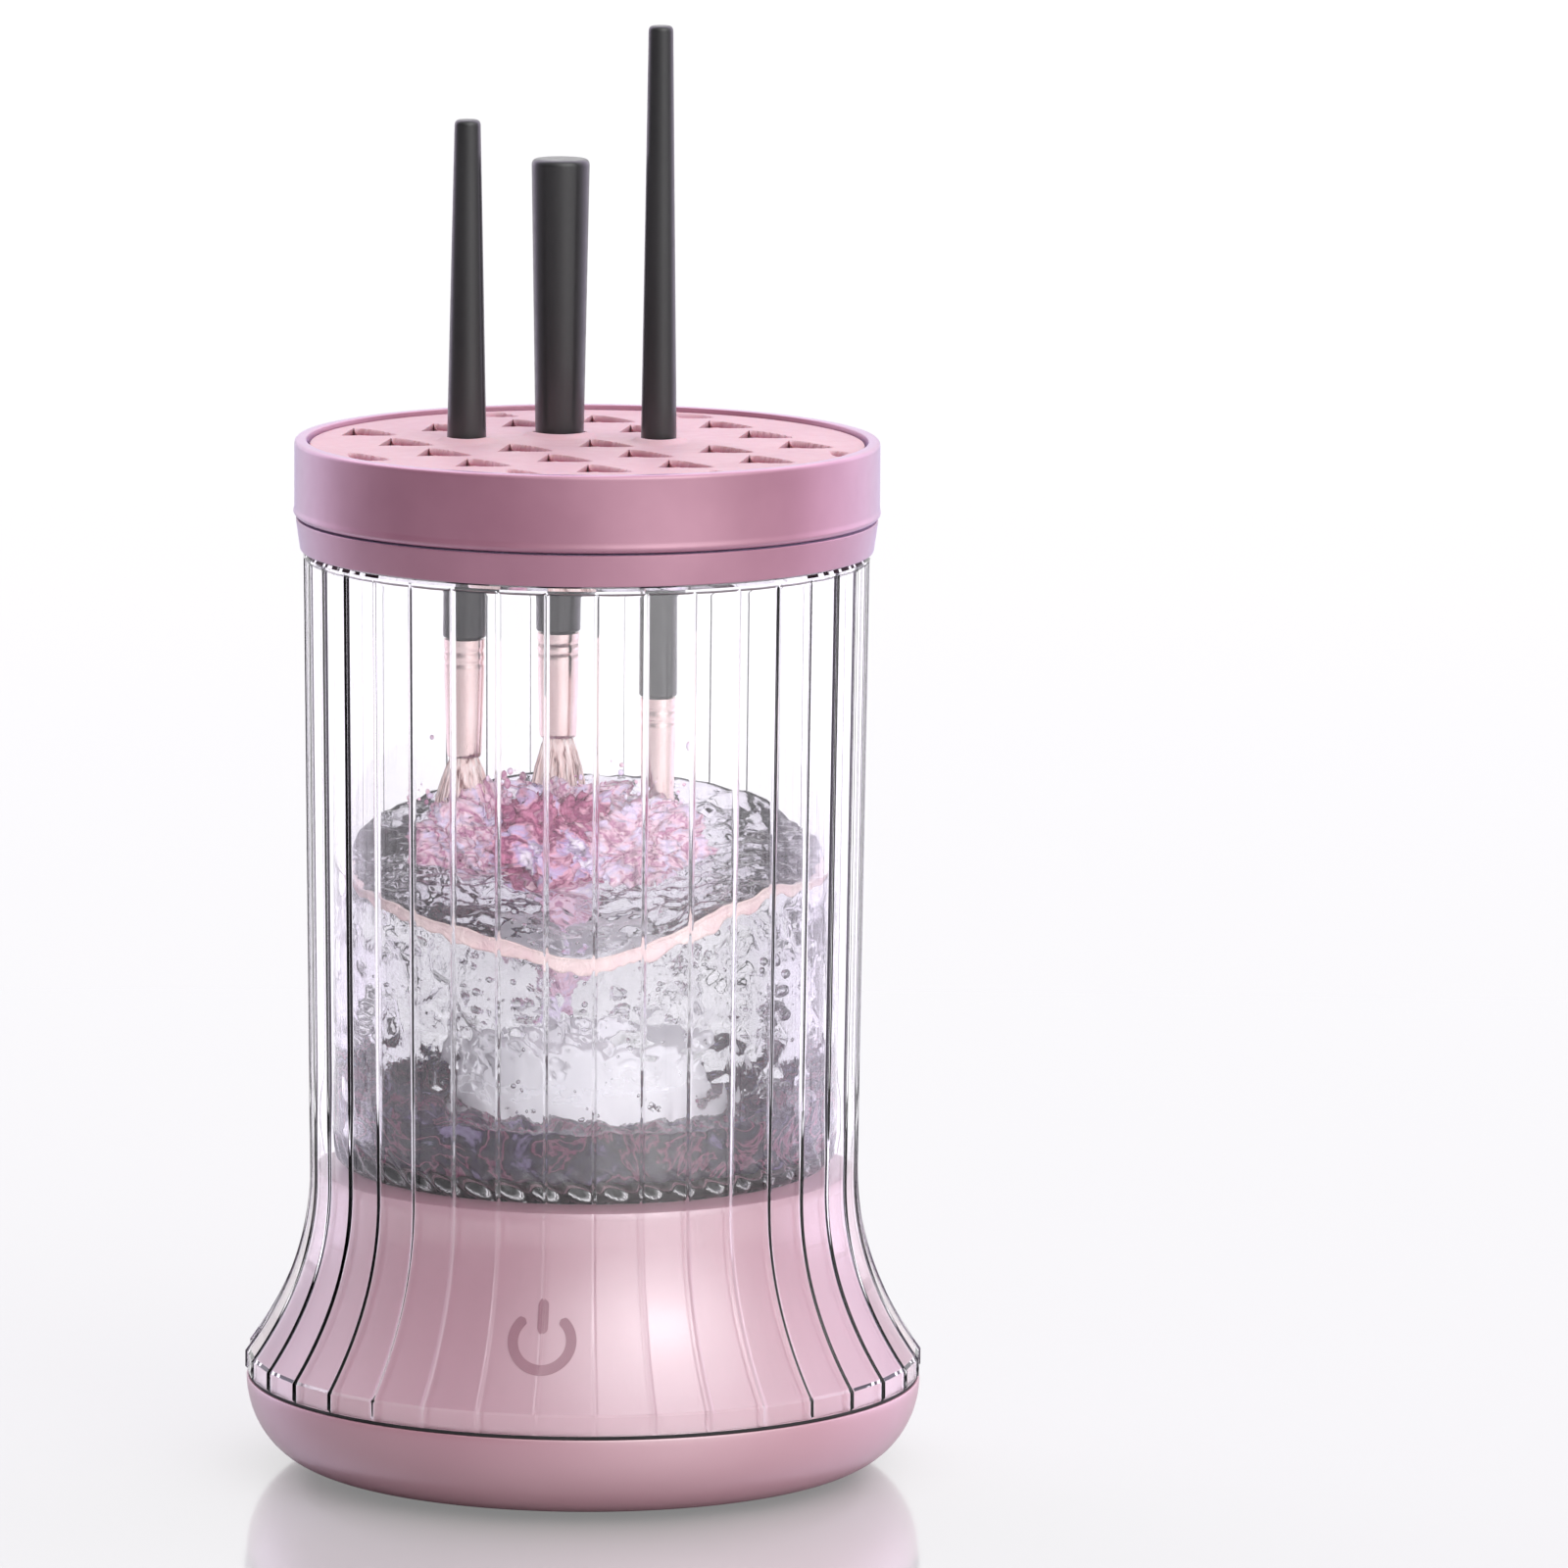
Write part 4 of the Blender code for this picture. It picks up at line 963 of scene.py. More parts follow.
def add_drop(bm, place, size, stretch=1.0):
    """A small ball, stretched upwards."""
    matrix = Matrix.Translation(place) @ Matrix.Diagonal((1, 1, stretch, 1))
    bmesh.ops.create_icosphere(bm, subdivisions=2, radius=size, matrix=matrix)


def add_cloud(bm, centre, sizes, relief, cell, detail=5, seed=0.0):
    """A lumpy closed cloud of pigment; sizes are to the right, away and up."""
    made = bmesh.ops.create_icosphere(bm, subdivisions=detail, radius=1)["verts"]
    shift = Vector((seed, seed * 0.7, -seed))
    for vert in made:
        way = vert.co.normalized()
        flat = RIGHT * way.x * sizes[0] + AWAY * way.y * sizes[1] + Vector((0, 0, way.z * sizes[2]))
        push = swirl_noise(flat + shift, cell, 5)
        curl = Vector([swirl_noise(flat + shift * k, cell * 0.7, 4) for k in (2, 3)] + [0])
        vert.co = seen_at(*centre) + flat + flat.normalized() * relief * push + curl * relief * 0.5


def ring_section(turn, across):
    """One section of the pigment ring: a heap on the mat that spills over its edge to the cup's floor."""
    mat_top, mat_r = MAT_HIGH.z + 0.3 * MM, MAT_HIGH.x + 0.1 * MM
    wall_r, hub_r = CUP_R - CUP_WALL - 0.1 * MM, HUB_HIGH.x + 0.4 * MM
    ahead = Vector((math.cos(turn), math.sin(turn), 0))
    front = max(0.0, -ahead.dot(AWAY))
    heap = (2.6 - 1.7 * front ** 0.7) * MM
    foot = CUP_FLOOR + 1.4 * MM
    quarter = across // 4
    corners = [(mat_r, foot), (wall_r, foot), (wall_r, mat_top + heap * 0.5), (hub_r, mat_top + 0.3 * MM)]
    made = []
    for k in range(across):
        side, share = divmod(k / quarter, 1)
        start, end = Vector(corners[int(side)]), Vector(corners[(int(side) + 1) % 4])
        point = start.lerp(end, share)
        if side == 3:
            point = Vector((hub_r, mat_top)).lerp(Vector((mat_r, mat_top)), min(1.0, share * 1.25))
            if share > 0.8:
                point = Vector((mat_r, mat_top)).lerp(Vector((mat_r, foot)), (share - 0.8) / 0.25)
        place = ahead * point.x + Vector((0, 0, point.y))
        bend = swirl_noise(place + Vector((0.1, 0.2, 0.3)), 4.2 * MM, 5)
        if side == 2:
            hill = math.sin(PI * min(1.0, 0.12 + share)) ** 0.7
            place.z += heap * 0.7 * hill * max(-0.6, 0.5 + 1.6 * bend)
            place.z = max(place.z, mat_top + 0.15 * MM)
        elif side == 1:
            place -= ahead * 0.5 * MM * max(0.0, bend)
        made.append(place)
    return made


def make_spray(material):
    """Pink drops thrown up round the tips of the brushes."""
    chance = random.Random(8)
    bm = bmesh.new()
    for name in BRUSH_NAMES:
        centre = brush_axis(name)
        reach = (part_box(f"{name}_bristles")[1].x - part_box(f"{name}_bristles")[0].x) / 2
        for _ in range(34):
            turn = chance.uniform(0, TAU)
            out = reach + chance.uniform(0.8, 4.5) * MM
            place = centre + Vector((math.cos(turn), math.sin(turn), 0)) * out
            place.z = (102 + abs(chance.gauss(0, 3.2))) * MM
            stretch = chance.uniform(0.8, 1.7)
            add_drop(bm, place, chance.uniform(0.25, 0.75) ** 2 * MM, stretch)
    add_piece("pigment_spray", bm, material, "cup", sharp=0)


def make_rim_foam(material):
    """The soapy edge of the water, pinkish beige, along the front of the cup."""
    bm = bmesh.new()
    rows = []
    for turn in steps_between(PI * 1.03, PI * 1.97, 220):
        fade = math.sin(PI * min(1.0, max(0.0, (turn - PI * 1.03) / (PI * 0.94)))) ** 0.6
        u, v = math.cos(turn), math.sin(turn)
        ahead = RIGHT * u + AWAY * v
        top = water_height(WATER_R * u, WATER_R * v)
        front, back = [], []
        for share in steps_between(0, 1, 7):
            deep = (1.9 + 2.2 * abs(swirl_noise(Vector((u, v, 0.2)) * WATER_R, 9 * MM, 3))) * MM * fade
            place = ahead * (WATER_R - 0.35 * MM)
            place.z = top + 0.25 * MM * fade - deep * share
            push = 0.6 * MM * math.sin(PI * share) * (1 + swirl_noise(place, 3 * MM, 3))
            front.append(place)
            back.append(place - ahead * push - ahead * 0.25 * MM)
        rows.append([bm.verts.new(p) for p in front + back[::-1]])
    skin(bm, rows, caps=True)
    add_piece("soap_rim", bm, material, "cup", sharp=0)


def make_pigment(cloud, haze, deep):
    """Make-up washed out of the bristles: a cloud at the surface, its tail, and a ring round the hub."""
    bm = bmesh.new()
    add_cloud(bm, (-6 * MM, -3 * MM, 96.5 * MM), (8.5 * MM, 9 * MM, 8.0 * MM), 3.8 * MM, 6 * MM, 6, 1.3)
    add_piece("pigment_cloud", bm, cloud, "cup", sharp=0)
    bm = bmesh.new()
    add_cloud(bm, (-17 * MM, 1 * MM, 97 * MM), (9 * MM, 8 * MM, 6.5 * MM), 3.2 * MM, 5 * MM, 6, 2.1)
    add_cloud(bm, (7 * MM, -1 * MM, 97 * MM), (10 * MM, 9 * MM, 6.5 * MM), 3.2 * MM, 5 * MM, 6, 3.7)
    add_cloud(bm, (-4 * MM, 8 * MM, 100 * MM), (13 * MM, 7 * MM, 5 * MM), 3.2 * MM, 5 * MM, 6, 4.9)
    add_piece("pigment_haze", bm, haze, "cup", sharp=0)
    bm = bmesh.new()
    rows = []
    for t in steps_between(0, 1, 40):
        height = (92 - 20 * t) * MM
        radius = (6.5 * (1 - t) ** 1.6 + 1.1) * MM
        row = []
        for j in range(32):
            turn = TAU * j / 32 + 2.4 * t
            wide = radius * (1 + 0.35 * math.sin(3 * turn - 9 * t))
            point = seen_at(-3 * MM + wide * math.cos(turn), -4 * MM + wide * math.sin(turn), height)
            point += point.normalized() * 0.5 * MM * swirl_noise(point, 3 * MM, 3)
            row.append(bm.verts.new(point))
        rows.append(row)
    skin(bm, rows, caps=True)
    add_piece("pigment_tail", bm, haze, "cup", sharp=0)
    make_spray(haze)
    around, across = 480, 56
    bm = bmesh.new()
    rows = []
    for j in range(around):
        turn = TAU * j / around
        rows.append([bm.verts.new(p) for p in ring_section(turn, across)])
    skin(bm, rows, loop=True)
    add_piece("pigment_ring", bm, deep, "cup", sharp=0)


def make_bubbles(material):
    """Strings of air bubbles under the surface."""
    chance = random.Random(5)
    bm = bmesh.new()
    strings = [(26, 75, 3.2, 34), (25, 64, 3.0, 16), (-16, 74, 3.0, 20)]
    strings += [(-8, 78, 4.0, 16), (8, 76, 4.5, 20), (14, 84, 4.0, 16)]
    for u, z, spread, count in strings:
        for _ in range(count):
            size = chance.uniform(0.25, 1.0) ** 2 * 1.3 * MM
            place = RIGHT * (u + chance.gauss(0, spread * 0.5)) * MM - AWAY * chance.uniform(14, 22) * MM
            if place.length > 34 * MM:
                place *= 34 * MM / place.length
            place.z = (z + chance.gauss(0, spread)) * MM
            add_drop(bm, place, size, chance.uniform(0.7, 1.0))
    for _ in range(260):
        turn, height = chance.uniform(PI * 1.05, PI * 1.95), chance.uniform(60, 90)
        place = (RIGHT * math.cos(turn) + AWAY * math.sin(turn)) * chance.uniform(24, 34) * MM
        place.z = height * MM
        add_drop(bm, place, chance.uniform(0.2, 0.75) ** 2 * MM)
    add_piece("bubbles", bm, material, "cup", sharp=0)


def water_paint():
    """Stirred water: clear, a little grey, with a rippled skin."""
    paint = Paint("wash_water", Transmission_Weight=1.0, IOR=1.33)
    paint.colours(paint.noise(40, 3), (0.3, (0.93, 0.93, 0.95)), (0.7, (0.99, 0.98, 1.0)))
    paint.roughness(paint.noise(300, 3), 0.0, 0.03)
    paint.bump(paint.noise(190, 5, (1, 1, 0.7), 0.8), 0.0006, 0.35)
    mist = paint.tree.nodes.new("ShaderNodeVolumeAbsorption")
    mist.inputs["Color"].default_value = (0.5, 0.5, 0.52, 1)
    mist.inputs["Density"].default_value = 11.0
    paint.link(mist.outputs[0], paint.out.inputs["Volume"])
    paint.let_light_through((0.97, 0.97, 0.98))
    return paint.material


def pigment_paint(name, stops, clear):
    """Streaks of colour in soapy water."""
    paint = Paint(name, Transmission_Weight=clear, IOR=1.25, Coat_Weight=0.3)
    value = paint.noise(95, 5, (1, 1, 1.3), 1.8)
    paint.colours(value, *stops)
    paint.roughness(paint.noise(400, 4), 0.08, 0.30)
    paint.bump(paint.noise(420, 6, distortion=1.2), 0.0010, 0.6)
    paint.let_light_through((0.85, 0.80, 0.84))
    return paint.material


def bubble_paint():
    """Air in water: its index is below one."""
    paint = Paint("air_bubble", Transmission_Weight=1.0, IOR=0.75)
    paint.colours(paint.noise(300, 2), (0.3, (0.97, 0.97, 1.0)), (0.7, (1, 1, 1)))
    paint.roughness(paint.noise(500, 2), 0.0, 0.02)
    paint.bump(paint.noise(900, 2), 0.00002, 0.3)
    paint.let_light_through()
    return paint.material


# ---- lid --------------------------------------------------------------------------------------

SLIT_PITCH = 13.7 * MM
SLIT_TURN = math.radians(34)
SLIT_START = Vector((-19.0 * MM, 3.4 * MM, 0))
BRUSH_NAMES = ("round_brush", "fan_brush", "fine_brush")


def brush_axis(name):
    """Where a brush stands."""
    low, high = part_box(f"{name}_handle")
    return Vector(((low.x + high.x) / 2, (low.y + high.y) / 2, 0))


def hole_radius(name):
    """Radius of the pad's hole round a brush, wide enough for all of the handle that slides through it."""
    heights = (PAD_HIGH.z, PAD_HIGH.z + BRUSH_DROP)
    return max(brush_radius_at(name, height) for height in heights) + 0.35 * MM


def slit_nodes():
    """Every lattice point of the pad's pattern, with the hole radius of the brush there, or None."""
    across = Vector((math.cos(SLIT_TURN), math.sin(SLIT_TURN), 0)) * SLIT_PITCH
    along = Vector((math.sin(SLIT_TURN), -math.cos(SLIT_TURN), 0)) * SLIT_PITCH
    made = []
    holes = [(brush_axis(n), hole_radius(n)) for n in BRUSH_NAMES]
    for i in range(-6, 7):
        for j in range(-6, 7):
            point = SLIT_START + across * i + along * j
            held = [(spot, radius) for spot, radius in holes if (spot - point).length < SLIT_PITCH / 2]
            if held:
                made.append(held[0])
            elif point.length < 43 * MM:
                made.append((point, None))
    return made


DIP_LENGTH = 7.2 * MM
DIP_DEPTH = 1.25 * MM
HOLE_REACH = 2.6 * MM
BRUSH_DROP = 26 * MM


def pad_relief(x, y, nodes):
    """Height over the pad's face: a leaf-shaped dip beside each slit, a raised lip before each brush."""
    height, lip = 0.0, 0.0
    for point, held in nodes:
        offset = Vector((x - point.x, y - point.y, 0))
        u, v = offset.dot(RIGHT), offset.dot(AWAY)
        if held:
            radius = held
            near = v / (1 + HOLE_REACH / radius) if v < 0 else v
            ring = (math.hypot(u, near) - radius - 0.55 * MM) / (0.75 * MM)
            lip += 0.75 * MM * math.exp(-ring * ring) * min(1.0, max(0.0, -v / radius))
            continue
        if not 0.4 * MM < u < DIP_LENGTH or abs(v) > 7 * MM:
            continue
        share = (u - 0.4 * MM) / (DIP_LENGTH - 0.4 * MM)
        high = (5.4 - 8.4 * share ** 1.5) * MM
        low = (1.8 - 5.2 * min(1.0, share / 0.22) - 0.6 * math.sin(PI * share)) * MM
        if low < v < high:
            across = (v - low) / (high - low)
            wall = min(1.0, (high - v) / (0.45 * MM))
            ends = min(1.0, share / 0.08, (1 - share) / 0.12)
            height = min(height, -DIP_DEPTH * across ** 0.9 * wall * ends)
    return height + lip


def hole_outline(name):
    """The opened slit that a handle stands in, wider towards the front."""
    centre = brush_axis(name)
    reach = hole_radius(name)
    base = []
    for turn in steps_between(0, TAU * 31 / 32, 31):
        u, v = reach * math.cos(turn), reach * math.sin(turn)
        if v < 0:
            v *= 1 + HOLE_REACH / reach
        base.append(centre + RIGHT * u + AWAY * v)
    return base


def make_pad(material):
    """Silicone pad with its dips, cut through by narrow triangular slits and the brush holes."""
    radius = PAD_HIGH.x
    top, low = PAD_HIGH.z, PAD_LOW.z
    nodes = slit_nodes()
    rings = int(radius / (0.36 * MM))
    outline = [(0, top)] + [(radius * k / rings, top) for k in range(1, rings)]
    outline += [(radius - 0.15 * MM, top - 0.05 * MM), (radius, top - 0.4 * MM), (radius, low), (0, low)]
    bm = turned_mesh(outline, 560)
    for vert in bm.verts:
        x, y, z = vert.co
        flat = math.hypot(x, y)
        if z > top - 0.02 * MM and flat < radius - 1.5 * MM:
            fade = min(1.0, (radius - 1.5 * MM - flat) / (1.2 * MM))
            vert.co.z = top + pad_relief(x, y, nodes) * fade
    pad = add_piece("silicone_pad", bm, material, "lid", ["brush_pad"], sharp=50)
    bm = bmesh.new()
    for point, held in nodes:
        if held is None and point.length < 40 * MM:
            corners = [(-1.4, -4.3), (1.9, -3.6), (0.4, 5.6)]
            base = [point + RIGHT * (u * MM) + AWAY * (v * MM) for u, v in corners]
            if max(c.length for c in base) < radius - 1.5 * MM:
                add_prism(bm, base, low - MM, top + MM)
    for name in BRUSH_NAMES:
        add_prism(bm, hole_outline(name), low - MM, top + 2 * MM)
    cut(pad, bm, "slit_tool")


def add_prism(bm, base, low, high):
    """An upright prism over a polygon."""
    rows = [[bm.verts.new((c.x, c.y, z)) for c in base] for z in (low, high)]
    skin(bm, rows, caps=True)


def brush_radius_at(name, height):
    """Radius of a brush's handle at a height, read from its CAD node."""
    centre = brush_axis(name)
    verts = [v.co for v in frame["nodes"][f"{name}_handle"].data.vertices]
    ring = sorted({round(v.z, 5) for v in verts})
    below = max([z for z in ring if z <= height])
    above = min([z for z in ring if z >= height])
    radii = [max((v.xy - centre.xy).length for v in verts if abs(v.z - z) < 2e-5) for z in (below, above)]
    share = 0 if above == below else (height - below) / (above - below)
    return radii[0] + (radii[1] - radii[0]) * share


def make_lid(rose, soft, pad):
    """Lid ring with an eased top edge, its gasket and the pad."""
    outer = LID_HIGH.x
    low, top = LID_GASKET_HIGH.z + 0.3 * MM, LID_HIGH.z
    ledge = PAD_LOW.z - 0.3 * MM
    inner = PAD_HIGH.x + 0.3 * MM
    skirt = 35.7 * MM
    sleeve = skirt - 1.6 * MM
    seat_r, hollow_r, floor_z = 40 * MM, 41.8 * MM, low + 1.8 * MM
    outline = [(outer - 0.6 * MM, low), (outer, low + 0.6 * MM, 0.3 * MM)]
    outline += [(outer - 0.2 * MM, low + 1.4 * MM, 0.3 * MM), (outer - 0.2 * MM, top, 0.7 * MM)]
    outline += [(inner + 0.2 * MM, top, 0.25 * MM), (inner, ledge), (seat_r, ledge)]
    outline += [(seat_r, ledge - 1.6 * MM), (hollow_r, ledge - 3 * MM), (hollow_r, floor_z)]
    outline += [(sleeve, floor_z), (sleeve, LID_LOW.z), (skirt, LID_LOW.z), (skirt, low)]
    ring_piece("rose_lid_ring", outline, rose, "lid", ["lid_ring"], 0.2 * MM)
    g_low, g_high = LID_GASKET_LOW, LID_GASKET_HIGH
    inside = 36.5 * MM
    outline = [(inside, g_low.z), (g_high.x, g_low.z), (g_high.x, g_high.z), (inside, g_high.z)]
    ring_piece("rim_gasket", outline, soft, "lid", ["lid_gasket"], 0.3 * MM, 144)
    make_pad(pad)


# ---- brushes ----------------------------------------------------------------------------------

def rings_of(node):
    """(radius, height) rings of a turned CAD node on a brush's axis, from the bottom up."""
    low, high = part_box(node)
    centre = (low + high) / 2
    verts = [v.co for v in frame["nodes"][node].data.vertices]
    heights = sorted({round(v.z, 5) for v in verts})
    return [(max((v.xy - centre.xy).length for v in verts if abs(v.z - z) < 2e-5), z) for z in heights]


def make_brush(name, black, rose, hair, seed, strands, fan):
    """A brush: lacquered handle, crimped ferrule and its tuft."""
    centre = brush_axis(name)
    at = (centre.x, centre.y, 0)
    body = [(r, z) for r, z in rings_of(f"{name}_handle") if r > 0]
    foot_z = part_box(f"{name}_ferrule")[1].z
    above = [(r, z) for r, z in body if z > foot_z + 0.1 * MM]
    top_r, top_z = above[-2][0], above[-1][1]
    tenon = body[0][0]
    base_z = foot_z + 0.3 * MM
    outline = [(0, body[0][1]), (tenon, body[0][1]), (tenon, base_z), (above[0][0], base_z, 0.4 * MM)]
    outline += [(r, z, 6 * MM) for r, z in above[1:-2]]
    outline += [(top_r, top_z, 1.0 * MM), (0, top_z)]
    eased = rounded(outline, 0.2 * MM, 5, closed=False)
    bm = turned_mesh(eased, 48)
    add_piece(f"{name}_stick", bm, black, name, [f"{name}_handle"], place=at)
    low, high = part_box(f"{name}_ferrule")
    cad = rings_of(f"{name}_ferrule")
    bottom_r, top_r = cad[0][0], cad[-1][0]
    wall = 0.55 * MM
    heights = steps_between(low.z, high.z, 60)
    outside = []
    for z in heights:
        t = (z - low.z) / (high.z - low.z)
        radius = bottom_r + (top_r - bottom_r) * min(1.0, t * 1.25) ** 0.8
        for crimp in (0.80, 0.90):
            radius -= 0.16 * MM * math.exp(-((t - crimp) / 0.018) ** 2)
        radius -= 0.12 * MM * math.exp(-(t / 0.012) ** 2)
        outside.append((radius, z))
    inside = [(r - wall, z) for r, z in (outside[-1], outside[30], outside[0])]
    bm = turned_mesh(outside[::-1] + inside[::-1], 48)
    add_piece(f"{name}_sleeve", bm, rose, name, [f"{name}_ferrule"], place=at)
    make_tuft(name, hair, seed, strands, fan, bottom_r - wall, at)


def make_tuft(name, hair, seed, strands, fan, socket_r, at):
    """Separate hairs that spread from the ferrule, round a solid heart."""
    low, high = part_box(f"{name}_bristles")
    widest = (high.x - low.x) / 2
    root_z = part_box(f"{name}_ferrule")[0].z
    bm = bmesh.new()
    chance = random.Random(seed)
    for _ in range(strands):
        turn = chance.uniform(0, TAU)
        share = math.sqrt(chance.uniform(0, 1))
        start_r = (socket_r - 0.15 * MM) * share
        end_r = widest * 0.93 * share ** fan * chance.uniform(0.92, 1.05)
        end_z = low.z + (1 - math.sqrt(max(0.0, 1 - (share * 0.9) ** 2))) * (root_z - low.z) * 0.45
        end_z += chance.uniform(0, 0.5) * MM
        sway = chance.uniform(-0.06, 0.06)
        thick = chance.uniform(0.10, 0.16) * MM
        rows = []
        for t in steps_between(0, 1, 6):
            z = root_z + 2.5 * MM + (end_z - root_z - 2.5 * MM) * t
            spread = min(1.0, max(0.0, (root_z - z) / (root_z - end_z)))
            r = start_r + (end_r - start_r) * math.sin(spread * PI / 2) ** 0.9
            a = turn + sway * t
            middle = Vector((r * math.cos(a), r * math.sin(a), z))
            size = thick * (1.0 if t < 0.6 else 1.15 - 1.0 * (t - 0.6) / 0.4)
            corners = [(size * math.cos(b), size * math.sin(b), 0) for b in (0, TAU / 3, TAU * 2 / 3)]
            rows.append([bm.verts.new(middle + Vector(corner)) for corner in corners])
        skin(bm, rows, caps=True)
    heart = [(0, root_z + 2 * MM), (socket_r - 0.3 * MM, root_z + 2 * MM), (socket_r - 0.3 * MM, root_z)]
    for t in steps_between(0.1, 1.0, 10):
        z = root_z + (low.z + 1.0 * MM - root_z) * t
        wide = socket_r + (widest * 0.80 - socket_r) * math.sin(min(1.0, t * 1.15) * PI / 2) ** 0.9
        heart.append((wide * math.sqrt(max(0.0, 1 - max(0.0, (t - 0.6) / 0.4) ** 2)), z))
    add_turned(bm, heart, 24)
    add_piece(f"{name}_tuft", bm, hair, name, [f"{name}_bristles"], sharp=0, place=at)


def hair_paint():
    """Fine hair: each strand its own shade along its length."""
    paint = Paint("hair", Sheen_Weight=0.2)
    paint.colours(
        paint.noise(1400, 2, (1, 1, 0.05)),
        (0.30, (0.22, 0.10, 0.10)), (0.70, (0.95, 0.86, 0.84)), (0.42, (0.78, 0.58, 0.56)),
    )
    paint.roughness(paint.noise(800, 2), 0.35, 0.55)
    paint.bump(paint.noise(3000, 2, (1, 1, 0.1)), 0.00003, 0.4)
    return paint.material


def handle_paint():
    """Charcoal satin lacquer with faint long streaks."""
    paint = Paint("charcoal_lacquer", Coat_Weight=0.4, Coat_Roughness=0.15)
    streaks = paint.noise(160, 4, (1, 1, 0.15))
    paint.colours(streaks, (0.3, (0.022, 0.022, 0.023)), (0.7, (0.036, 0.036, 0.037)))
    paint.roughness(paint.noise(500, 3), 0.30, 0.42)
    paint.bump(paint.noise(600, 2), 0.000003, 0.1)
    return paint.material


# ---- the rest of the CAD nodes ----------------------------------------------------------------

def board_paint():
    """Circuit board: solder mask with copper tracks showing through."""
    paint = Paint("solder_mask", Coat_Weight=0.4)
    tracks = paint.tree.nodes.new("ShaderNodeTexBrick")
    tracks.inputs["Scale"].default_value = 260
    tracks.inputs["Mortar Size"].default_value = 0.03
    paint.link(paint.place, tracks.inputs["Vector"])
    paint.colours(tracks.outputs["Fac"], (0.0, (0.015, 0.12, 0.05)), (1.0, (0.05, 0.28, 0.12)))
    paint.roughness(paint.noise(600, 3), 0.3, 0.5)
    paint.bump(tracks.outputs["Fac"], 0.00003, 0.5)
    return paint.material


def dress_cad_nodes():
    """Materials for the inner pieces that stay as they were built."""
    steel = metal("plated_steel", (0.72, 0.72, 0.74), (0.50, 0.50, 0.52))
    nickel = metal("nickel", (0.80, 0.79, 0.77), (0.62, 0.61, 0.60), (0.1, 0.22))
    brass = metal("turned_brass", (0.80, 0.60, 0.30), (0.60, 0.42, 0.18))
    board = board_paint()
    wrap = moulded("battery_wrap", (0.10, 0.26, 0.55), (0.05, 0.14, 0.34), (0.25, 0.4), Coat_Weight=0.3)
    grey = moulded("grey_moulding", (0.42, 0.42, 0.44), (0.28, 0.28, 0.30))
    lamp = moulded("lamp_body", (0.92, 0.90, 0.86), (0.80, 0.78, 0.72), (0.2, 0.3))
    looks = {
        "steel": steel, "brass": brass, "green_board": board, "battery_blue": wrap,
        "grey_plastic": grey, "white_plastic": lamp,
    }
    slots = {row["node"]: row["material_slot"] for row in frame["record"]["subparts"]}
    for node, piece in frame["nodes"].items():
        if piece.hide_render:
            continue
        look = nickel if "magnet_" in node and node != "magnet_carrier" else looks[slots[node]]
        for place in piece.material_slots:
            place.material = look


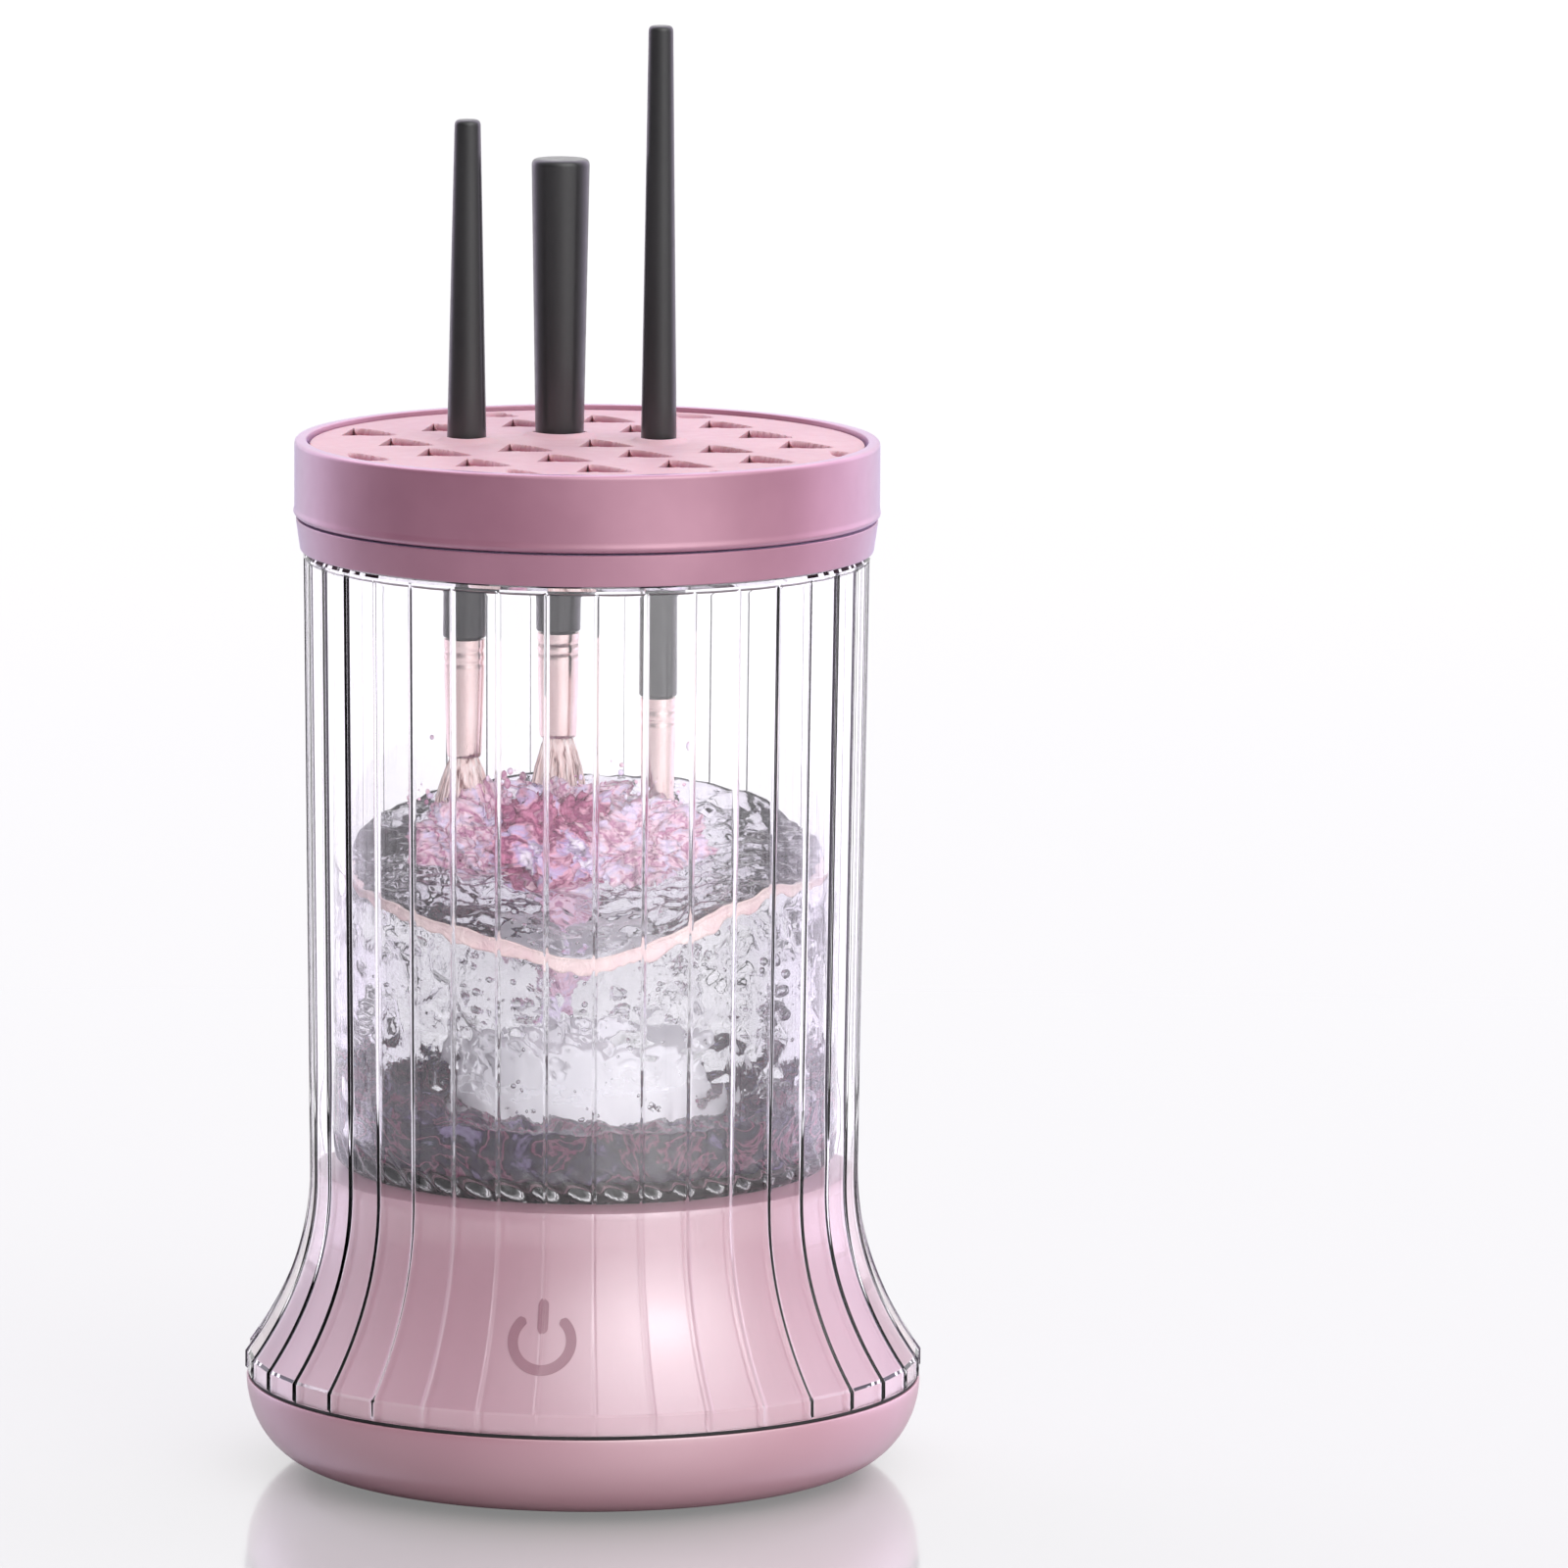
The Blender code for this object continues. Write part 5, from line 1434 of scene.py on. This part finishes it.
def main():
    """Everything, in the order it stands."""
    make_camera()
    make_floor()
    make_world()
    clear = acrylic("clear_acrylic", (0.985, 0.98, 0.99))
    core = pearl("pearl_pink", (0.70, 0.36, 0.44), (0.64, 0.31, 0.39), coat=1.0)
    base = pearl("tray_pink", (0.64, 0.33, 0.40), (0.58, 0.28, 0.35), coat=0.8)
    rose = metallic("rose_lacquer", (0.54, 0.23, 0.33), (0.46, 0.18, 0.27))
    soft = silicone("pink_silicone", (0.70, 0.48, 0.53), (0.64, 0.42, 0.47))
    white = moulded("white_moulding", (0.97, 0.96, 0.98), (0.90, 0.89, 0.93), (0.3, 0.45))
    rubber = moulded("black_rubber", (0.035, 0.033, 0.035), (0.015, 0.014, 0.015), (0.6, 0.8))
    print_ink = moulded("symbol_ink", (0.50, 0.25, 0.31), (0.45, 0.21, 0.27), (0.3, 0.4))
    make_tray(base)
    make_core(core)
    make_power_symbol(print_ink)
    seam_in, seam_low, seam_top = 49.9 * MM, TRAY_HIGH.z + 0.05 * MM, SHELL_FOOT_Z - 0.05 * MM
    seam = [(seam_in, seam_low), (SEAM_HIGH.x, seam_low), (SEAM_HIGH.x, seam_top), (seam_in, seam_top)]
    ring_piece("seam_ring", seam, rubber, "base", ["seam_gasket"], 0.1 * MM)
    foot_in, foot_out = FOOT_LOW_R + 0.3 * MM, FOOT_HIGH_R - 0.3 * MM
    foot = [(foot_in, FOOT_HIGH.z), (foot_in, 0), (foot_out, 0), (foot_out, FOOT_HIGH.z)]
    ring_piece("rubber_foot", foot, rubber, "base", ["foot_ring"], 0.3 * MM)
    make_shell(clear)
    make_cup(clear, rose)
    make_turntable(white)
    make_mat(soft)
    make_hub(white)
    make_water(water_paint())
    streaks = [
        (0.30, (0.93, 0.88, 0.95)), (0.72, (0.84, 0.60, 0.66)), (0.39, (0.60, 0.46, 0.74)),
        (0.45, (0.80, 0.42, 0.54)), (0.51, (0.24, 0.03, 0.12)), (0.58, (0.62, 0.22, 0.36)),
        (0.65, (0.34, 0.08, 0.20)),
    ]
    depths = [
        (0.28, (0.50, 0.44, 0.70)), (0.74, (0.60, 0.50, 0.76)), (0.35, (0.02, 0.012, 0.045)),
        (0.44, (0.06, 0.015, 0.06)), (0.48, (0.50, 0.16, 0.28)), (0.51, (0.03, 0.008, 0.03)),
        (0.60, (0.05, 0.02, 0.08)), (0.66, (0.40, 0.30, 0.54)),
    ]
    veils = [
        (0.30, (0.98, 0.95, 1.0)), (0.72, (0.97, 0.90, 0.95)), (0.40, (0.78, 0.68, 0.92)),
        (0.47, (0.92, 0.66, 0.76)),
        (0.52, (0.50, 0.20, 0.36)), (0.56, (0.90, 0.66, 0.74)), (0.64, (0.80, 0.72, 0.94)),
    ]
    make_pigment(
        pigment_paint("pigment_streaks", streaks, 0.15),
        pigment_paint("pigment_veils", veils, 0.25),
        pigment_paint("pigment_depths", depths, 0.0),
    )
    make_bubbles(bubble_paint())
    froth = [(0.30, (0.98, 0.86, 0.82)), (0.70, (0.88, 0.66, 0.68)), (0.50, (0.94, 0.77, 0.75))]
    make_rim_foam(pigment_paint("soapy_edge", froth, 0.45))
    # The pad's third colour is painted shade, the deep pink laid into its dips and slits.
    make_lid(rose, soft, pad_paint_with_painted_shade((0.66, 0.43, 0.46), (0.60, 0.38, 0.41), (0.36, 0.08, 0.14)))
    black = handle_paint()
    ferrule = metal("rose_anodised", (0.92, 0.74, 0.71), (0.85, 0.64, 0.61), (0.15, 0.28), (1, 1, 0.2))
    hair = hair_paint()
    make_brush("round_brush", black, ferrule, hair, 11, 320, 0.75)
    make_brush("fan_brush", black, ferrule, hair, 12, 320, 0.75)
    make_brush("fine_brush", black, ferrule, hair, 13, 220, 1.0)
    dress_cad_nodes()
    light_the_wash()


main()
